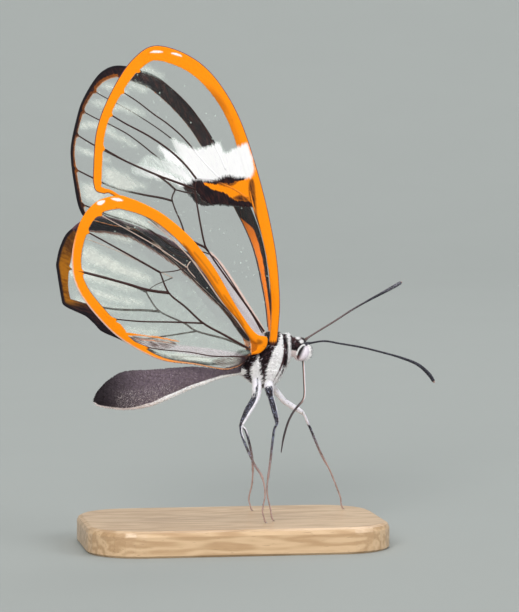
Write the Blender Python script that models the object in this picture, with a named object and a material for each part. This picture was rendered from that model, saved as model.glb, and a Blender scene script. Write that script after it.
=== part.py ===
"""Glasswing butterfly at life size, standing with its wings raised on a small wooden base.

Lengths are in millimetres in the body frame: +X toward the head, +Y to the animal's left,
+Z up, with the origin at the middle of the thorax. place() moves the points to the frame of
the model, which has its origin at the centre of the underside of the base, in metres.
"""
import math

import bmesh
import bpy
import numpy as np
from mathutils.geometry import delaunay_2d_cdt

MM = 0.001
GAP = 0.30
WELD = 0.02
RIGHT = -1
LEFT = 1

BASE_LENGTH = 28.0
BASE_WIDTH = 18.0
BASE_HEIGHT = 2.4
BASE_CORNER = 5.0
BASE_BEVEL = 0.5
FOOT_LEVEL = -14.6
BASE_CENTRE_X = -3.4

WING_HALF = 0.25
VEIN_WIDTH = 0.28
VEIN_HEIGHT = 0.12
RIM_WIDTH = 0.9
RIM_HEIGHT = 0.08
MARGIN_STEP = 0.85
VEIN_STEP = 1.3
FILL_STEP = 2.3

# Margins run from the front of the wing root over the tip to the rear of the root, in the wing
# plane: the first number is measured backward, the second upward.
FOREWING_MARGIN = [
    (-0.30, -1.00), (-0.52, 0.60), (-0.61, 3.80), (-0.08, 8.65), (1.48, 15.10), (3.70, 21.20),
    (6.80, 25.30), (10.76, 27.00), (13.20, 25.70), (15.25, 22.55), (16.44, 19.30),
    (16.72, 15.60), (16.35, 13.98), (14.74, 13.35), (11.00, 10.70), (7.40, 7.10),
    (4.10, 3.20), (1.60, 0.20), (0.60, -1.00),
]
# The left forewing is seen a little wider in front of its clear part, with a lower rear corner.
FOREWING_LEFT_MARGIN = [
    (-0.30, -1.00), (-0.52, 0.60), (-0.74, 4.20), (-0.78, 8.60), (-0.10, 12.20),
    (1.20, 15.50), (3.70, 21.20), (6.80, 25.10), (9.20, 26.40), (11.00, 26.84), (12.34, 26.50),
    (13.44, 25.58), (14.78, 23.73), (15.55, 21.98), (16.33, 19.67), (16.53, 18.02),
    (16.51, 15.94), (16.39, 14.12), (16.05, 13.00), (15.40, 12.30), (14.20, 11.90),
] + FOREWING_MARGIN[-5:]
HINDWING_MARGIN = [
    (-0.10, -0.95), (-0.68, -0.20), (-0.66, 0.70), (0.20, 1.20), (0.95, 1.90), (1.67, 2.92),
    (2.55, 4.30), (3.44, 5.80), (5.32, 8.60), (6.80, 10.38), (8.86, 12.12), (10.54, 13.10),
    (12.22, 13.75), (13.50, 14.02), (15.30, 13.45), (16.73, 11.67), (17.46, 8.45),
    (16.84, 5.40), (14.23, 2.02), (11.76, 0.07), (9.00, -1.25), (6.00, -1.72),
    (3.46, -2.20), (1.30, -2.00), (0.20, -1.60),
]
# The left hindwing is creased at its outer corner, which draws its veins together.
HINDWING_LEFT_MARGIN = HINDWING_MARGIN[:4] + [
    (0.94, 1.80), (1.50, 3.10), (2.42, 5.10), (3.38, 6.95), (4.34, 8.68), (5.36, 10.08),
    (6.97, 11.45), (9.76, 12.85), (11.98, 13.75), (13.60, 13.98), (15.50, 13.20),
    (16.85, 11.30), (17.55, 9.30), (17.50, 7.20), (17.22, 5.35), (16.00, 4.25),
    (14.50, 2.75), (12.28, 1.10), (9.00, -0.95), (5.00, -1.85), (1.30, -2.00),
    (0.20, -1.60),
]
# Veins of each wing, root end first.
FOREWING_VEINS = {
    "radius": [(0.05, 1.0), (0.33, 5.8), (0.98, 9.2), (2.05, 12.6), (2.70, 16.0), (3.95, 19.8),
               (5.85, 22.9), (8.90, 25.5)],
    "cubitus": [(0.80, 0.5), (1.95, 2.33), (3.41, 4.63), (4.86, 6.77), (6.16, 8.4),
                (6.82, 10.5), (7.32, 13.28), (7.27, 14.89)],
    "discal_bar": [(2.50, 13.1), (4.10, 14.1), (6.00, 14.8), (7.27, 14.89)],
    "radial_fork": [(4.60, 15.6), (5.54, 17.84), (6.90, 20.11), (8.39, 21.98), (10.41, 23.70),
                    (12.60, 24.5)],
    "media_first": [(5.10, 14.9), (6.47, 16.3), (8.37, 18.5), (11.21, 20.8), (14.90, 23.2)],
    "media_second": [(7.27, 14.89), (9.85, 17.58), (11.74, 18.85), (13.75, 19.91),
                     (15.90, 21.1)],
    "media_third": [(7.38, 13.95), (10.50, 15.10), (12.26, 15.84), (14.00, 16.65),
                    (16.50, 18.0)],
    "cubitus_fork": [(6.16, 8.4), (8.05, 9.6), (10.00, 11.15), (13.40, 12.9), (16.00, 14.3)],
    "anal": [(0.70, 0.1), (2.40, 2.0), (4.70, 4.5), (7.80, 8.1), (11.20, 11.2), (14.50, 13.1)],
}
FOREWING_LEFT_VEINS = {
    "radius": [(-0.15, 1.0), (-0.25, 4.0), (0.00, 7.5), (0.95, 11.4), (2.90, 16.6), (5.10, 21.2),
               (7.40, 23.9), (9.20, 25.2)],
    "cubitus": [(0.80, 0.5), (1.95, 2.33), (3.41, 4.63), (4.86, 6.77), (6.00, 8.4),
                (6.82, 11.45), (7.40, 13.68), (6.98, 14.70)],
    "discal_bar": [(2.20, 13.2), (4.00, 13.9), (5.82, 14.33), (6.98, 14.70)],
    "radial_fork": [(4.60, 17.2), (6.06, 19.0), (9.00, 21.5), (10.82, 22.82), (13.90, 24.8)],
    "media_first": [(5.80, 15.4), (8.58, 18.2), (10.98, 20.4), (12.80, 21.57), (15.00, 22.9)],
    "media_second": [(6.98, 14.70), (8.68, 16.30), (11.57, 17.92), (14.24, 19.59),
                     (15.90, 20.9)],
    "media_third": [(7.40, 13.68), (10.18, 14.53), (12.74, 15.36), (14.64, 16.42),
                    (16.50, 17.6)],
    "cubitus_fork": FOREWING_VEINS["cubitus_fork"],
    "anal": FOREWING_VEINS["anal"],
}
HINDWING_VEINS = {
    "subcosta": [(0.40, 0.2), (1.70, 1.60), (2.84, 3.15), (4.70, 5.70), (6.42, 7.91),
                 (8.85, 10.50), (10.70, 11.90)],
    "radius": [(4.70, 5.70), (6.89, 7.42), (10.31, 9.90), (15.90, 12.80)],
    "cubitus": [(0.90, -0.30), (3.27, 1.07), (5.30, 2.23), (7.01, 3.80), (8.55, 5.12),
                (9.41, 7.04)],
    "cell_end": [(6.89, 7.42), (8.19, 7.11), (9.41, 7.04)],
    "media_first": [(9.41, 7.04), (12.30, 8.70), (16.80, 11.20)],
    "media_second": [(8.55, 5.12), (10.53, 5.41), (12.74, 6.08), (17.20, 7.30)],
    "cubitus_fork": [(5.30, 2.23), (8.40, 2.38), (11.40, 2.50), (14.90, 2.90)],
    "anal": [(0.90, -0.95), (4.26, -0.88), (6.58, -0.48), (9.30, -0.20)],
}
HINDWING_LEFT_VEINS = {
    "subcosta": [(0.40, 0.2), (1.70, 1.60), (2.84, 3.15), (4.70, 5.70), (6.42, 7.91),
                 (8.85, 10.20), (10.70, 11.60)],
    "radius": [(4.70, 5.70), (6.89, 7.00), (10.31, 9.30), (15.90, 12.40)],
    "cubitus": [(0.90, -0.50), (3.26, 0.65), (4.97, 1.60), (6.37, 2.46), (8.46, 3.96),
                (9.36, 6.09)],
    "cell_end": [(6.89, 7.00), (8.19, 6.50), (9.36, 6.09)],
    "media_first": [(9.36, 6.09), (12.30, 7.70), (16.90, 10.60)],
    "media_second": [(8.46, 3.96), (10.50, 4.20), (13.32, 4.51), (17.20, 5.60)],
    "cubitus_fork": [(4.97, 1.60), (8.36, 1.31), (10.60, 1.10), (12.90, 1.60)],
    "anal": [(0.90, -1.20), (4.26, -1.15), (6.58, -0.90), (9.30, -0.60)],
}
# Root point of each right wing; the left ones are mirrored.
FOREWING_ROOT = (0.25, -1.00, 1.75)
HINDWING_ROOT = (-1.05, -1.80, 1.15)
# Each wing's pose in degrees: lean outward, sweep backward in its plane, and yaw, which turns
# the rear edge outward.
WING_POSE = {
    "forewing_right": (4.5, 0.0, 0.0),
    "hindwing_right": (7.0, 0.0, 0.0),
    "forewing_left": (14.0, 4.1, -6.5),
    "hindwing_left": (28.0, 2.9, 0.6),
}
WING_ARCH = 0.35

# Body sections: x, centre height, half height, half width.
THORAX = [
    (-2.50, -0.98, 0.34, 0.30), (-2.30, -0.90, 0.86, 0.74), (-1.85, -0.62, 1.56, 1.08),
    (-1.10, -0.46, 2.24, 1.34), (-0.30, -0.24, 2.66, 1.46), (0.45, -0.10, 2.64, 1.42),
    (1.05, 0.17, 2.27, 1.24), (1.55, 0.50, 1.70, 1.02), (1.80, 0.72, 1.48, 0.86),
    (2.04, 1.02, 1.12, 0.66), (2.18, 1.10, 0.62, 0.42),
]
ABDOMEN = [
    (-2.10, -0.95, 0.60, 0.60), (-3.20, -1.20, 0.50, 0.48), (-4.50, -1.50, 0.46, 0.42),
    (-6.00, -1.58, 0.70, 0.52), (-7.20, -1.72, 0.93, 0.62), (-9.10, -2.20, 1.30, 0.78),
    (-10.90, -2.66, 1.64, 0.92), (-12.50, -2.90, 1.80, 0.98), (-13.70, -3.06, 1.68, 0.92),
    (-14.90, -3.34, 1.22, 0.72), (-15.80, -3.66, 0.76, 0.48), (-16.25, -3.90, 0.28, 0.20),
]
HEAD = [
    (2.20, 0.95, 0.75, 0.42), (2.45, 0.90, 0.92, 0.48), (2.70, 0.76, 1.08, 0.52),
    (3.05, 0.69, 1.13, 0.52), (3.35, 0.66, 1.02, 0.47), (3.58, 0.62, 0.66, 0.32),
]
EYE_CENTRE = (3.08, 0.72, 0.40)
EYE_RADII = (0.66, 0.60, 0.78)

# Limbs of one side or of both: path points, and radii at those points.
PALP_PATH = [(3.40, 0.50, -0.42), (3.78, 0.48, -0.12), (3.92, 0.46, 0.34), (3.88, 0.44, 0.84)]
PALP_RADII = (0.25, 0.28, 0.28, 0.18)
PROBOSCIS_PATH = [(3.20, 0.0, 0.10), (3.34, 0.0, -0.90), (3.40, 0.0, -2.20), (3.44, 0.0, -3.40),
                  (3.28, 0.0, -4.05), (2.78, 0.0, -4.65), (2.30, 0.0, -5.27),
                  (1.85, 0.0, -6.20), (1.45, 0.0, -7.60), (1.24, 0.0, -8.90)]
PROBOSCIS_RADII = (0.27, 0.26, 0.25, 0.25, 0.25, 0.25, 0.25, 0.25, 0.24, 0.14)
ANTENNA_RIGHT = [(3.30, -0.40, 1.10), (3.83, -0.42, 1.27), (5.17, -0.90, 1.48),
                 (6.63, -1.30, 1.25), (8.45, -1.80, 0.94), (10.28, -2.30, 0.49),
                 (12.00, -2.70, 0.00), (13.50, -3.05, -0.62), (14.50, -3.28, -1.50),
                 (15.02, -3.40, -2.30)]
ANTENNA_LEFT = [(3.30, 0.40, 1.10), (3.78, 0.42, 1.55), (5.10, 1.30, 2.27), (6.70, 2.40, 3.10),
                (8.60, 3.70, 4.06), (10.40, 4.90, 4.86), (12.00, 5.95, 5.52),
                (13.20, 6.70, 6.04), (14.10, 7.25, 6.46)]
ANTENNA_RADIUS = 0.25
CLUB_RADIUS = 0.29
CLUB_SHARE = 0.30
FORELEG_PATH = [(0.86, 0.50, -2.52), (1.36, 0.52, -2.05), (1.76, 0.52, -1.35),
                (2.02, 0.50, -0.75), (2.18, 0.46, -0.25)]
FORELEG_RADII = (0.28, 0.27, 0.26, 0.25, 0.18)
LEG_PATHS = {
    "midleg_right": [(-0.10, -0.75, -2.20), (0.02, -1.10, -3.30), (0.30, -1.70, -4.70),
                     (0.49, -2.20, -5.90), (0.18, -2.38, -6.60), (-0.17, -2.80, -8.82),
                     (-0.34, -3.00, -9.90), (-0.61, -3.20, -12.00), (-0.35, -3.42, -13.60)],
    "hindleg_right": [(-1.15, -0.75, -2.00), (-1.54, -1.40, -3.85), (-2.32, -2.00, -5.08),
                      (-2.91, -2.50, -6.22), (-2.74, -2.90, -7.38), (-1.84, -3.50, -9.54),
                      (-1.17, -3.85, -10.70), (-0.95, -4.25, -12.20), (-1.25, -4.65, -13.60)],
    "midleg_left": [(-0.10, 0.75, -2.20), (1.40, 1.10, -3.89), (2.47, 1.60, -4.71),
                    (3.65, 2.15, -5.48), (4.29, 2.60, -6.64), (5.62, 3.50, -9.46),
                    (6.60, 4.00, -11.20), (7.60, 4.40, -13.60)],
    "hindleg_left": [(-1.15, 0.75, -2.00), (-1.45, 1.30, -3.70), (-1.80, 1.90, -5.10),
                     (-2.09, 2.38, -6.45), (-1.68, 2.62, -7.10), (-1.13, 3.20, -8.87),
                     (-0.86, 3.65, -10.50), (-0.85, 4.10, -12.20), (-1.10, 4.45, -13.60)],
}
KNEE_POINT = 3
HIP_RADIUS = 0.45
FEMUR_RADIUS = 0.30
SHANK_RADIUS = 0.25
KNEE_RADIUS = 0.27

COLOURS = {
    "head": (0.03, 0.025, 0.025), "eye": (0.10, 0.06, 0.06), "palp": (0.80, 0.78, 0.74),
    "antenna": (0.02, 0.018, 0.018), "proboscis": (0.30, 0.20, 0.17),
    "thorax": (0.10, 0.09, 0.09), "abdomen": (0.13, 0.11, 0.11),
    "forewing": (0.62, 0.30, 0.12), "hindwing": (0.60, 0.32, 0.15),
    "foreleg": (0.80, 0.78, 0.75), "midleg": (0.10, 0.10, 0.13), "hindleg": (0.12, 0.12, 0.15),
    "stand": (0.66, 0.47, 0.29),
}


def place(points):
    """Body frame in millimetres to the frame of the model in metres."""
    lift = BASE_HEIGHT + GAP - FOOT_LEVEL
    return (np.asarray(points, float) + (-BASE_CENTRE_X, 0.0, lift)) * MM


def catmull(points, step):
    """Catmull-Rom curve through the points, sampled about every step."""
    knots = np.asarray(points, float)
    padded = np.vstack([2 * knots[0] - knots[1], knots, 2 * knots[-1] - knots[-2]])
    out = []
    for i in range(1, len(padded) - 2):
        p0, p1, p2, p3 = padded[i - 1:i + 3]
        count = max(1, round(float(np.linalg.norm(p2 - p1)) / step))
        t = (np.arange(count) / count)[:, None]
        out.append(0.5 * (2 * p1 + (p2 - p0) * t + (2 * p0 - 5 * p1 + 4 * p2 - p3) * t ** 2
                          + (3 * p1 - p0 - 3 * p2 + p3) * t ** 3))
    out.append(knots[-1:])
    return np.concatenate(out)


def distance(points, line):
    """Least distance from each point to a polyline."""
    best = np.full(len(points), np.inf)
    for p, q in zip(line[:-1], line[1:]):
        d = q - p
        t = np.clip((points - p) @ d / (d @ d), 0.0, 1.0)
        best = np.minimum(best, np.linalg.norm(points - (p + t[:, None] * d), axis=1))
    return best


def inside(points, loop):
    """Even-odd test of points against a closed loop."""
    x, y = points[:, 0], points[:, 1]
    odd = np.zeros(len(points), bool)
    for (x0, y0), (x1, y1) in zip(loop, np.roll(loop, -1, axis=0)):
        if y0 == y1:
            continue
        crosses = (y0 > y) != (y1 > y)
        odd ^= crosses & (x < x0 + (y - y0) * (x1 - x0) / (y1 - y0))
    return odd


def build_object(name, points, faces, colour):
    """Closed mesh object from points in the body frame."""
    mesh = bpy.data.meshes.new(name)
    mesh.from_pydata(place(points).tolist(), [], [list(map(int, f)) for f in faces])
    bm = bmesh.new()
    bm.from_mesh(mesh)
    bmesh.ops.recalc_face_normals(bm, faces=bm.faces)
    if bm.calc_volume(signed=True) < 0:
        bmesh.ops.reverse_faces(bm, faces=bm.faces)
    bm.to_mesh(mesh)
    bm.free()
    obj = bpy.data.objects.new(name, mesh)
    bpy.context.scene.collection.objects.link(obj)
    material = bpy.data.materials.new(name)
    material.use_nodes = True
    shader = material.node_tree.nodes["Principled BSDF"]
    shader.inputs["Base Color"].default_value = (*colour, 1.0)
    shader.inputs["Roughness"].default_value = 0.55
    mesh.materials.append(material)
    return obj


def ring_faces(rings, sides):
    """Quads between successive rings, with a fan from a pole at either end."""
    faces = []
    for i in range(rings - 1):
        for j in range(sides):
            k = (j + 1) % sides
            faces.append((i * sides + j, i * sides + k, (i + 1) * sides + k, (i + 1) * sides + j))
    first = rings * sides
    last = first + 1
    for j in range(sides):
        k = (j + 1) % sides
        faces.append((first, k, j))
        faces.append((last, (rings - 1) * sides + j, (rings - 1) * sides + k))
    return faces


def loft(stations, sides, grow=0.0, steps=3):
    """Body with upright elliptic sections; grow swells it evenly for a clearance cutter."""
    rows = np.asarray(stations, float)
    t = np.linspace(0.0, len(rows) - 1.0, (len(rows) - 1) * steps + 1)
    dense = np.stack([smooth_column(rows[:, c], t) for c in range(4)], axis=1)
    dense[0, 0] -= math.copysign(grow, rows[1, 0] - rows[0, 0])
    dense[-1, 0] += math.copysign(grow, rows[-1, 0] - rows[-2, 0])
    angle = 2 * math.pi * np.arange(sides) / sides
    points = []
    for x, z, high, wide in dense:
        ring = np.stack([np.full(sides, x), (wide + grow) * np.sin(angle),
                         z + (high + grow) * np.cos(angle)], axis=1)
        points.append(ring)
    poles = [(dense[0, 0], 0.0, dense[0, 1]), (dense[-1, 0], 0.0, dense[-1, 1])]
    return np.vstack(points + [np.array(poles)]), ring_faces(len(dense), sides)


def smooth_column(values, t):
    """Catmull-Rom interpolation of evenly numbered values at parameters t."""
    padded = np.concatenate([[2 * values[0] - values[1]], values, [2 * values[-1] - values[-2]]])
    i = np.minimum(t.astype(int), len(values) - 2)
    u = t - i
    p0, p1, p2, p3 = padded[i], padded[i + 1], padded[i + 2], padded[i + 3]
    return 0.5 * (2 * p1 + (p2 - p0) * u + (2 * p0 - 5 * p1 + 4 * p2 - p3) * u ** 2
                  + (3 * p1 - p0 - 3 * p2 + p3) * u ** 3)


def tube(path, radii, sides):
    """Round tube along a path with a radius at each of its points."""
    path = np.asarray(path, float)
    tangent = np.gradient(path, axis=0)
    tangent[-1] = path[-1] - path[-2]
    tangent /= np.linalg.norm(tangent, axis=1)[:, None]
    normal = np.cross(tangent[0], (0.0, 1.0, 0.0) if abs(tangent[0, 1]) < 0.9 else (1.0, 0.0, 0.0))
    angle = 2 * math.pi * np.arange(sides) / sides
    points = []
    for centre, along, radius in zip(path, tangent, radii):
        normal = normal - along * (normal @ along)
        normal /= np.linalg.norm(normal)
        side = np.cross(along, normal)
        points.append(centre + radius * (np.cos(angle)[:, None] * normal
                                         + np.sin(angle)[:, None] * side))
    return np.vstack(points + [path[:1], path[-1:]]), ring_faces(len(path), sides)


def limb(points, radii, step, sides):
    """Tube along the curve through the points; the radii follow the length of the path."""
    points = np.asarray(points, float)
    path = catmull(points, step)
    knots = np.concatenate([[0.0], np.cumsum(np.linalg.norm(np.diff(points, axis=0), axis=1))])
    along = np.concatenate([[0.0], np.cumsum(np.linalg.norm(np.diff(path, axis=0), axis=1))])
    share = np.linspace(0.0, 1.0, len(radii)) if len(radii) != len(points) else knots / knots[-1]
    return tube(path, np.interp(along / along[-1], share, radii), sides)


def ellipsoid(centre, radii, sides, rings):
    """Ellipsoid with its poles along Y."""
    polar = math.pi * (np.arange(rings) + 1) / (rings + 1)
    angle = 2 * math.pi * np.arange(sides) / sides
    points = []
    for p in polar:
        points.append(np.stack([math.sin(p) * np.cos(angle), np.full(sides, -math.cos(p)),
                                math.sin(p) * np.sin(angle)], axis=1))
    points = np.vstack(points + [np.array([(0.0, -1.0, 0.0), (0.0, 1.0, 0.0)])])
    return np.asarray(centre) + points * np.asarray(radii), ring_faces(rings, sides)


def cut(obj, *shapes):
    """Take the given shapes away from a part and keep its largest closed piece."""
    for points, faces in shapes:
        cutter = build_object("cutter", points, faces, (0.5, 0.5, 0.5))
        cutter.hide_render = True
        cutter.display_type = "WIRE"
        modifier = obj.modifiers.new("clearance", "BOOLEAN")
        modifier.operation = "DIFFERENCE"
        modifier.solver = "EXACT"
        modifier.object = cutter
        graph = bpy.context.evaluated_depsgraph_get()
        result = bpy.data.meshes.new_from_object(obj.evaluated_get(graph))
        obj.modifiers.clear()
        obj.data = result
        bpy.data.objects.remove(cutter)
    keep_largest(obj)


def keep_largest(obj):
    """Drop all but the closed surface of greatest volume."""
    bm = bmesh.new()
    bm.from_mesh(obj.data)
    bmesh.ops.remove_doubles(bm, verts=bm.verts, dist=WELD * MM)
    bmesh.ops.dissolve_degenerate(bm, edges=bm.edges, dist=0.5 * WELD * MM)
    bm.faces.ensure_lookup_table()
    seen = set()
    groups = []
    for face in bm.faces:
        if face in seen:
            continue
        group = []
        stack = [face]
        seen.add(face)
        while stack:
            current = stack.pop()
            group.append(current)
            for edge in current.edges:
                for other in edge.link_faces:
                    if other not in seen:
                        seen.add(other)
                        stack.append(other)
        groups.append(group)
    best = max(groups, key=lambda g: abs(group_volume(g)))
    others = [f for g in groups if g is not best for f in g]
    bmesh.ops.delete(bm, geom=others, context="FACES")
    bm.to_mesh(obj.data)
    bm.free()


def group_volume(group):
    """Signed volume under a set of faces."""
    total = 0.0
    for face in group:
        corners = [v.co for v in face.verts]
        for i in range(1, len(corners) - 1):
            total += corners[0].dot(corners[i].cross(corners[i + 1])) / 6
    return total


def wing_axes(side, lean, sweep, yaw):
    """Unit vectors backward, upward and outward in a wing's own plane."""
    lean, sweep, yaw = map(math.radians, (lean, sweep, yaw))
    back = np.array([-math.cos(sweep), 0.0, -math.sin(sweep)])
    up = np.array([-math.sin(sweep), 0.0, math.cos(sweep)])
    out = np.array([0.0, 1.0, 0.0])
    tip = np.array([[1.0, 0.0, 0.0], [0.0, math.cos(lean), math.sin(lean)],
                    [0.0, -math.sin(lean), math.cos(lean)]])
    turn = np.array([[math.cos(yaw), math.sin(yaw), 0.0],
                     [-math.sin(yaw), math.cos(yaw), 0.0], [0.0, 0.0, 1.0]])
    axes = [turn @ (tip @ v) for v in (back, up, out)]
    return [v * (1.0, side, 1.0) for v in axes]


def wing_plan(margin, veins):
    """Triangles of a wing in its plane, with the height of the ridges at every corner."""
    outline = catmull(margin, MARGIN_STEP)
    points = list(outline)
    count = len(outline)
    edges = [(i, (i + 1) % count) for i in range(count)]

    def add_line(line):
        start = len(points)
        points.extend(line)
        edges.extend((start + i, start + i + 1) for i in range(len(line) - 1))

    tangent = np.roll(outline, -1, axis=0) - np.roll(outline, 1, axis=0)
    tangent /= np.linalg.norm(tangent, axis=1)[:, None]
    inward = np.stack([tangent[:, 1], -tangent[:, 0]], axis=1)
    rim = outline + RIM_WIDTH * inward
    clear = distance(rim, np.vstack([outline, outline[:1]])) > 0.97 * RIM_WIDTH
    clear &= inside(rim, outline)
    rim = rim[clear]
    add_line(rim)
    lines = []
    for knots in veins.values():
        line = catmull(knots, VEIN_STEP)
        to_margin = np.linalg.norm(outline - line[-1], axis=1)
        if to_margin.min() < RIM_WIDTH:
            line[-1] = outline[to_margin.argmin()]
        across = np.gradient(line, axis=0)
        across = np.stack([-across[:, 1], across[:, 0]], axis=1)
        across *= VEIN_WIDTH / np.linalg.norm(across, axis=1)[:, None]
        add_line(line)
        for way in (1, -1):
            add_line(np.vstack([(line + way * across)[:-1], line[-1:]]))
        lines.append(line)
    low, high = outline.min(axis=0), outline.max(axis=0)
    grid = np.stack(np.meshgrid(np.arange(low[0], high[0], FILL_STEP),
                                np.arange(low[1], high[1], FILL_STEP)), axis=-1).reshape(-1, 2)
    grid[:, 0] += 0.5 * FILL_STEP * (np.round((grid[:, 1] - low[1]) / FILL_STEP) % 2)
    away = inside(grid, outline) & (distance(grid, outline) > RIM_WIDTH + 0.5 * FILL_STEP)
    for line in lines:
        away &= distance(grid, line) > 0.4 * FILL_STEP
    points.extend(grid[away])
    verts, _, tris, *_ = delaunay_2d_cdt([tuple(map(float, p)) for p in points], edges,
                                         [list(range(count))], 1, 0.02, False)
    flat = np.array([(v[0], v[1]) for v in verts])
    tris = [t for t in tris if inside(flat[list(t)].mean(axis=0)[None], outline)[0]]
    ridge = RIM_HEIGHT * np.clip(1 - distance(flat, np.vstack([outline, outline[:1]])) / RIM_WIDTH,
                                 0, 1)
    for line in lines:
        ridge = np.maximum(ridge, VEIN_HEIGHT * np.clip(1 - distance(flat, line) / VEIN_WIDTH,
                                                        0, 1))
    return flat, tris, ridge


def wing_solid(plan, root, side, pose):
    """Two faces of the same triangles set apart by the thickness, joined around the edge."""
    flat, tris, ridge = plan
    back, up, out = wing_axes(side, *pose)
    centre = np.asarray(root) * (1.0, -side, 1.0)
    share = np.clip(flat[:, 1:] / flat[:, 1].max(), 0.0, 1.0)
    arch = WING_ARCH * 4 * share * (1 - share)
    middle = centre + flat[:, :1] * back + flat[:, 1:] * up + arch * out
    half = (WING_HALF + ridge)[:, None] * out
    count = len(flat)
    faces = [tuple(t) for t in tris] + [tuple(i + count for i in reversed(t)) for t in tris]
    edge_use = {}
    for t in tris:
        for i, j in zip(t, t[1:] + t[:1]):
            edge_use[(i, j)] = True
    for i, j in edge_use:
        if (j, i) not in edge_use:
            faces.append((j, i, i + count))
            faces.append((j, i + count, j + count))
    used = sorted({i for f in faces for i in f})
    number = {old: new for new, old in enumerate(used)}
    points = np.vstack([middle + half, middle - half])[used]
    return points, [tuple(number[i] for i in f) for f in faces]


def rounded_base():
    """Plate with rounded corners and a bevelled upper and lower edge."""
    corner = 8
    rings = []
    levels = [(0.0, 0.4 * BASE_BEVEL), (0.4 * BASE_BEVEL, 0.0),
              (BASE_HEIGHT - BASE_BEVEL, 0.0), (BASE_HEIGHT - 0.3 * BASE_BEVEL, 0.3 * BASE_BEVEL),
              (BASE_HEIGHT, BASE_BEVEL)]
    for level, inset in levels:
        ring = []
        for quarter in range(4):
            cx = (BASE_LENGTH / 2 - BASE_CORNER) * (1, -1, -1, 1)[quarter]
            cy = (BASE_WIDTH / 2 - BASE_CORNER) * (1, 1, -1, -1)[quarter]
            for k in range(corner + 1):
                angle = math.pi / 2 * (quarter + k / corner)
                radius = BASE_CORNER - inset
                ring.append((BASE_CENTRE_X + cx + radius * math.cos(angle),
                             cy + radius * math.sin(angle), level))
        rings.append(ring)
    sides = len(rings[0])
    points = np.array([p for ring in rings for p in ring])
    points[:, 2] += FOOT_LEVEL - GAP - BASE_HEIGHT
    faces = [tuple(reversed(range(sides))), tuple(range((len(rings) - 1) * sides,
                                                        len(rings) * sides))]
    for i in range(len(rings) - 1):
        for j in range(sides):
            k = (j + 1) % sides
            faces.append((i * sides + j, i * sides + k, (i + 1) * sides + k, (i + 1) * sides + j))
    return points, faces


def mirrored(points, side):
    """Points given for the left side, moved to the side asked for."""
    return [(x, side * y, z) for x, y, z in points]


def leg_shape(path):
    """Leg from the hip to a small flat foot at the common level."""
    x, y, _ = path[-1]
    down = [(x, y, FOOT_LEVEL + 0.25), (x, y, FOOT_LEVEL)]
    points = np.asarray(path + down, float)
    line = np.vstack([catmull(points[:-1], 0.9), points[-1:]])
    along = np.concatenate([[0.0], np.cumsum(np.linalg.norm(np.diff(line, axis=0), axis=1))])
    knee = np.argmin(np.linalg.norm(line - np.asarray(path[KNEE_POINT]), axis=1))
    bend = along[knee]
    radii = np.interp(along, (0.0, 0.35 * bend, 0.50 * bend, 0.72 * bend, 0.95 * bend,
                              bend + 0.5, bend + 1.2, along[-1]),
                      (HIP_RADIUS, HIP_RADIUS, 0.27, FEMUR_RADIUS, KNEE_RADIUS, KNEE_RADIUS,
                       SHANK_RADIUS, SHANK_RADIUS))
    return tube(line, radii, 8)


def antenna_shape(path):
    """Slender feeler that thickens to a club over its last part."""
    line = catmull(path, 0.9)
    share = np.linspace(0.0, 1.0, len(line))
    radii = np.interp(share, (0.0, 1 - CLUB_SHARE, 0.93, 1.0),
                      (ANTENNA_RADIUS, ANTENNA_RADIUS, CLUB_RADIUS, 0.12))
    return tube(line, radii, 8)


def build():
    for obj in list(bpy.data.objects):
        bpy.data.objects.remove(obj)
    build_object("stand_base", *rounded_base(), COLOURS["stand"])
    thorax_clearance = loft(THORAX, 24, GAP)
    head_clearance = loft(HEAD, 24, GAP)
    build_object("thorax", *loft(THORAX, 24), COLOURS["thorax"])
    head = build_object("head", *loft(HEAD, 24), COLOURS["head"])
    cut(head, thorax_clearance)
    abdomen = build_object("abdomen", *loft(ABDOMEN, 20), COLOURS["abdomen"])
    cut(abdomen, thorax_clearance)
    proboscis = build_object("proboscis", *limb(PROBOSCIS_PATH, PROBOSCIS_RADII, 0.6, 10),
                             COLOURS["proboscis"])
    cut(proboscis, head_clearance)
    plans = {"forewing_right": wing_plan(FOREWING_MARGIN, FOREWING_VEINS),
             "forewing_left": wing_plan(FOREWING_LEFT_MARGIN, FOREWING_LEFT_VEINS),
             "hindwing_right": wing_plan(HINDWING_MARGIN, HINDWING_VEINS),
             "hindwing_left": wing_plan(HINDWING_LEFT_MARGIN, HINDWING_LEFT_VEINS)}
    roots = {"forewing": FOREWING_ROOT, "hindwing": HINDWING_ROOT}
    for side, word in ((RIGHT, "right"), (LEFT, "left")):
        eye = build_object("eye_" + word, *ellipsoid(mirrored([EYE_CENTRE], side)[0], EYE_RADII,
                                                     20, 11), COLOURS["eye"])
        cut(eye, head_clearance)
        palp = build_object("palp_" + word, *limb(mirrored(PALP_PATH, side), PALP_RADII, 0.3, 8),
                            COLOURS["palp"])
        cut(palp, head_clearance)
        path = ANTENNA_RIGHT if side == RIGHT else ANTENNA_LEFT
        antenna = build_object("antenna_" + word, *antenna_shape(path), COLOURS["antenna"])
        cut(antenna, head_clearance)
        foreleg = build_object("foreleg_" + word, *limb(mirrored(FORELEG_PATH, side),
                                                        FORELEG_RADII, 0.4, 8),
                               COLOURS["foreleg"])
        cut(foreleg, thorax_clearance)
        for kind in ("midleg", "hindleg"):
            name = kind + "_" + word
            leg = build_object(name, *leg_shape(LEG_PATHS[name]), COLOURS[kind])
            cut(leg, thorax_clearance)
        for kind in ("forewing", "hindwing"):
            name = kind + "_" + word
            wing = build_object(name, *wing_solid(plans[name], roots[kind], side,
                                                  WING_POSE[name]), COLOURS[kind])
            cut(wing, thorax_clearance)


build()
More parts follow.
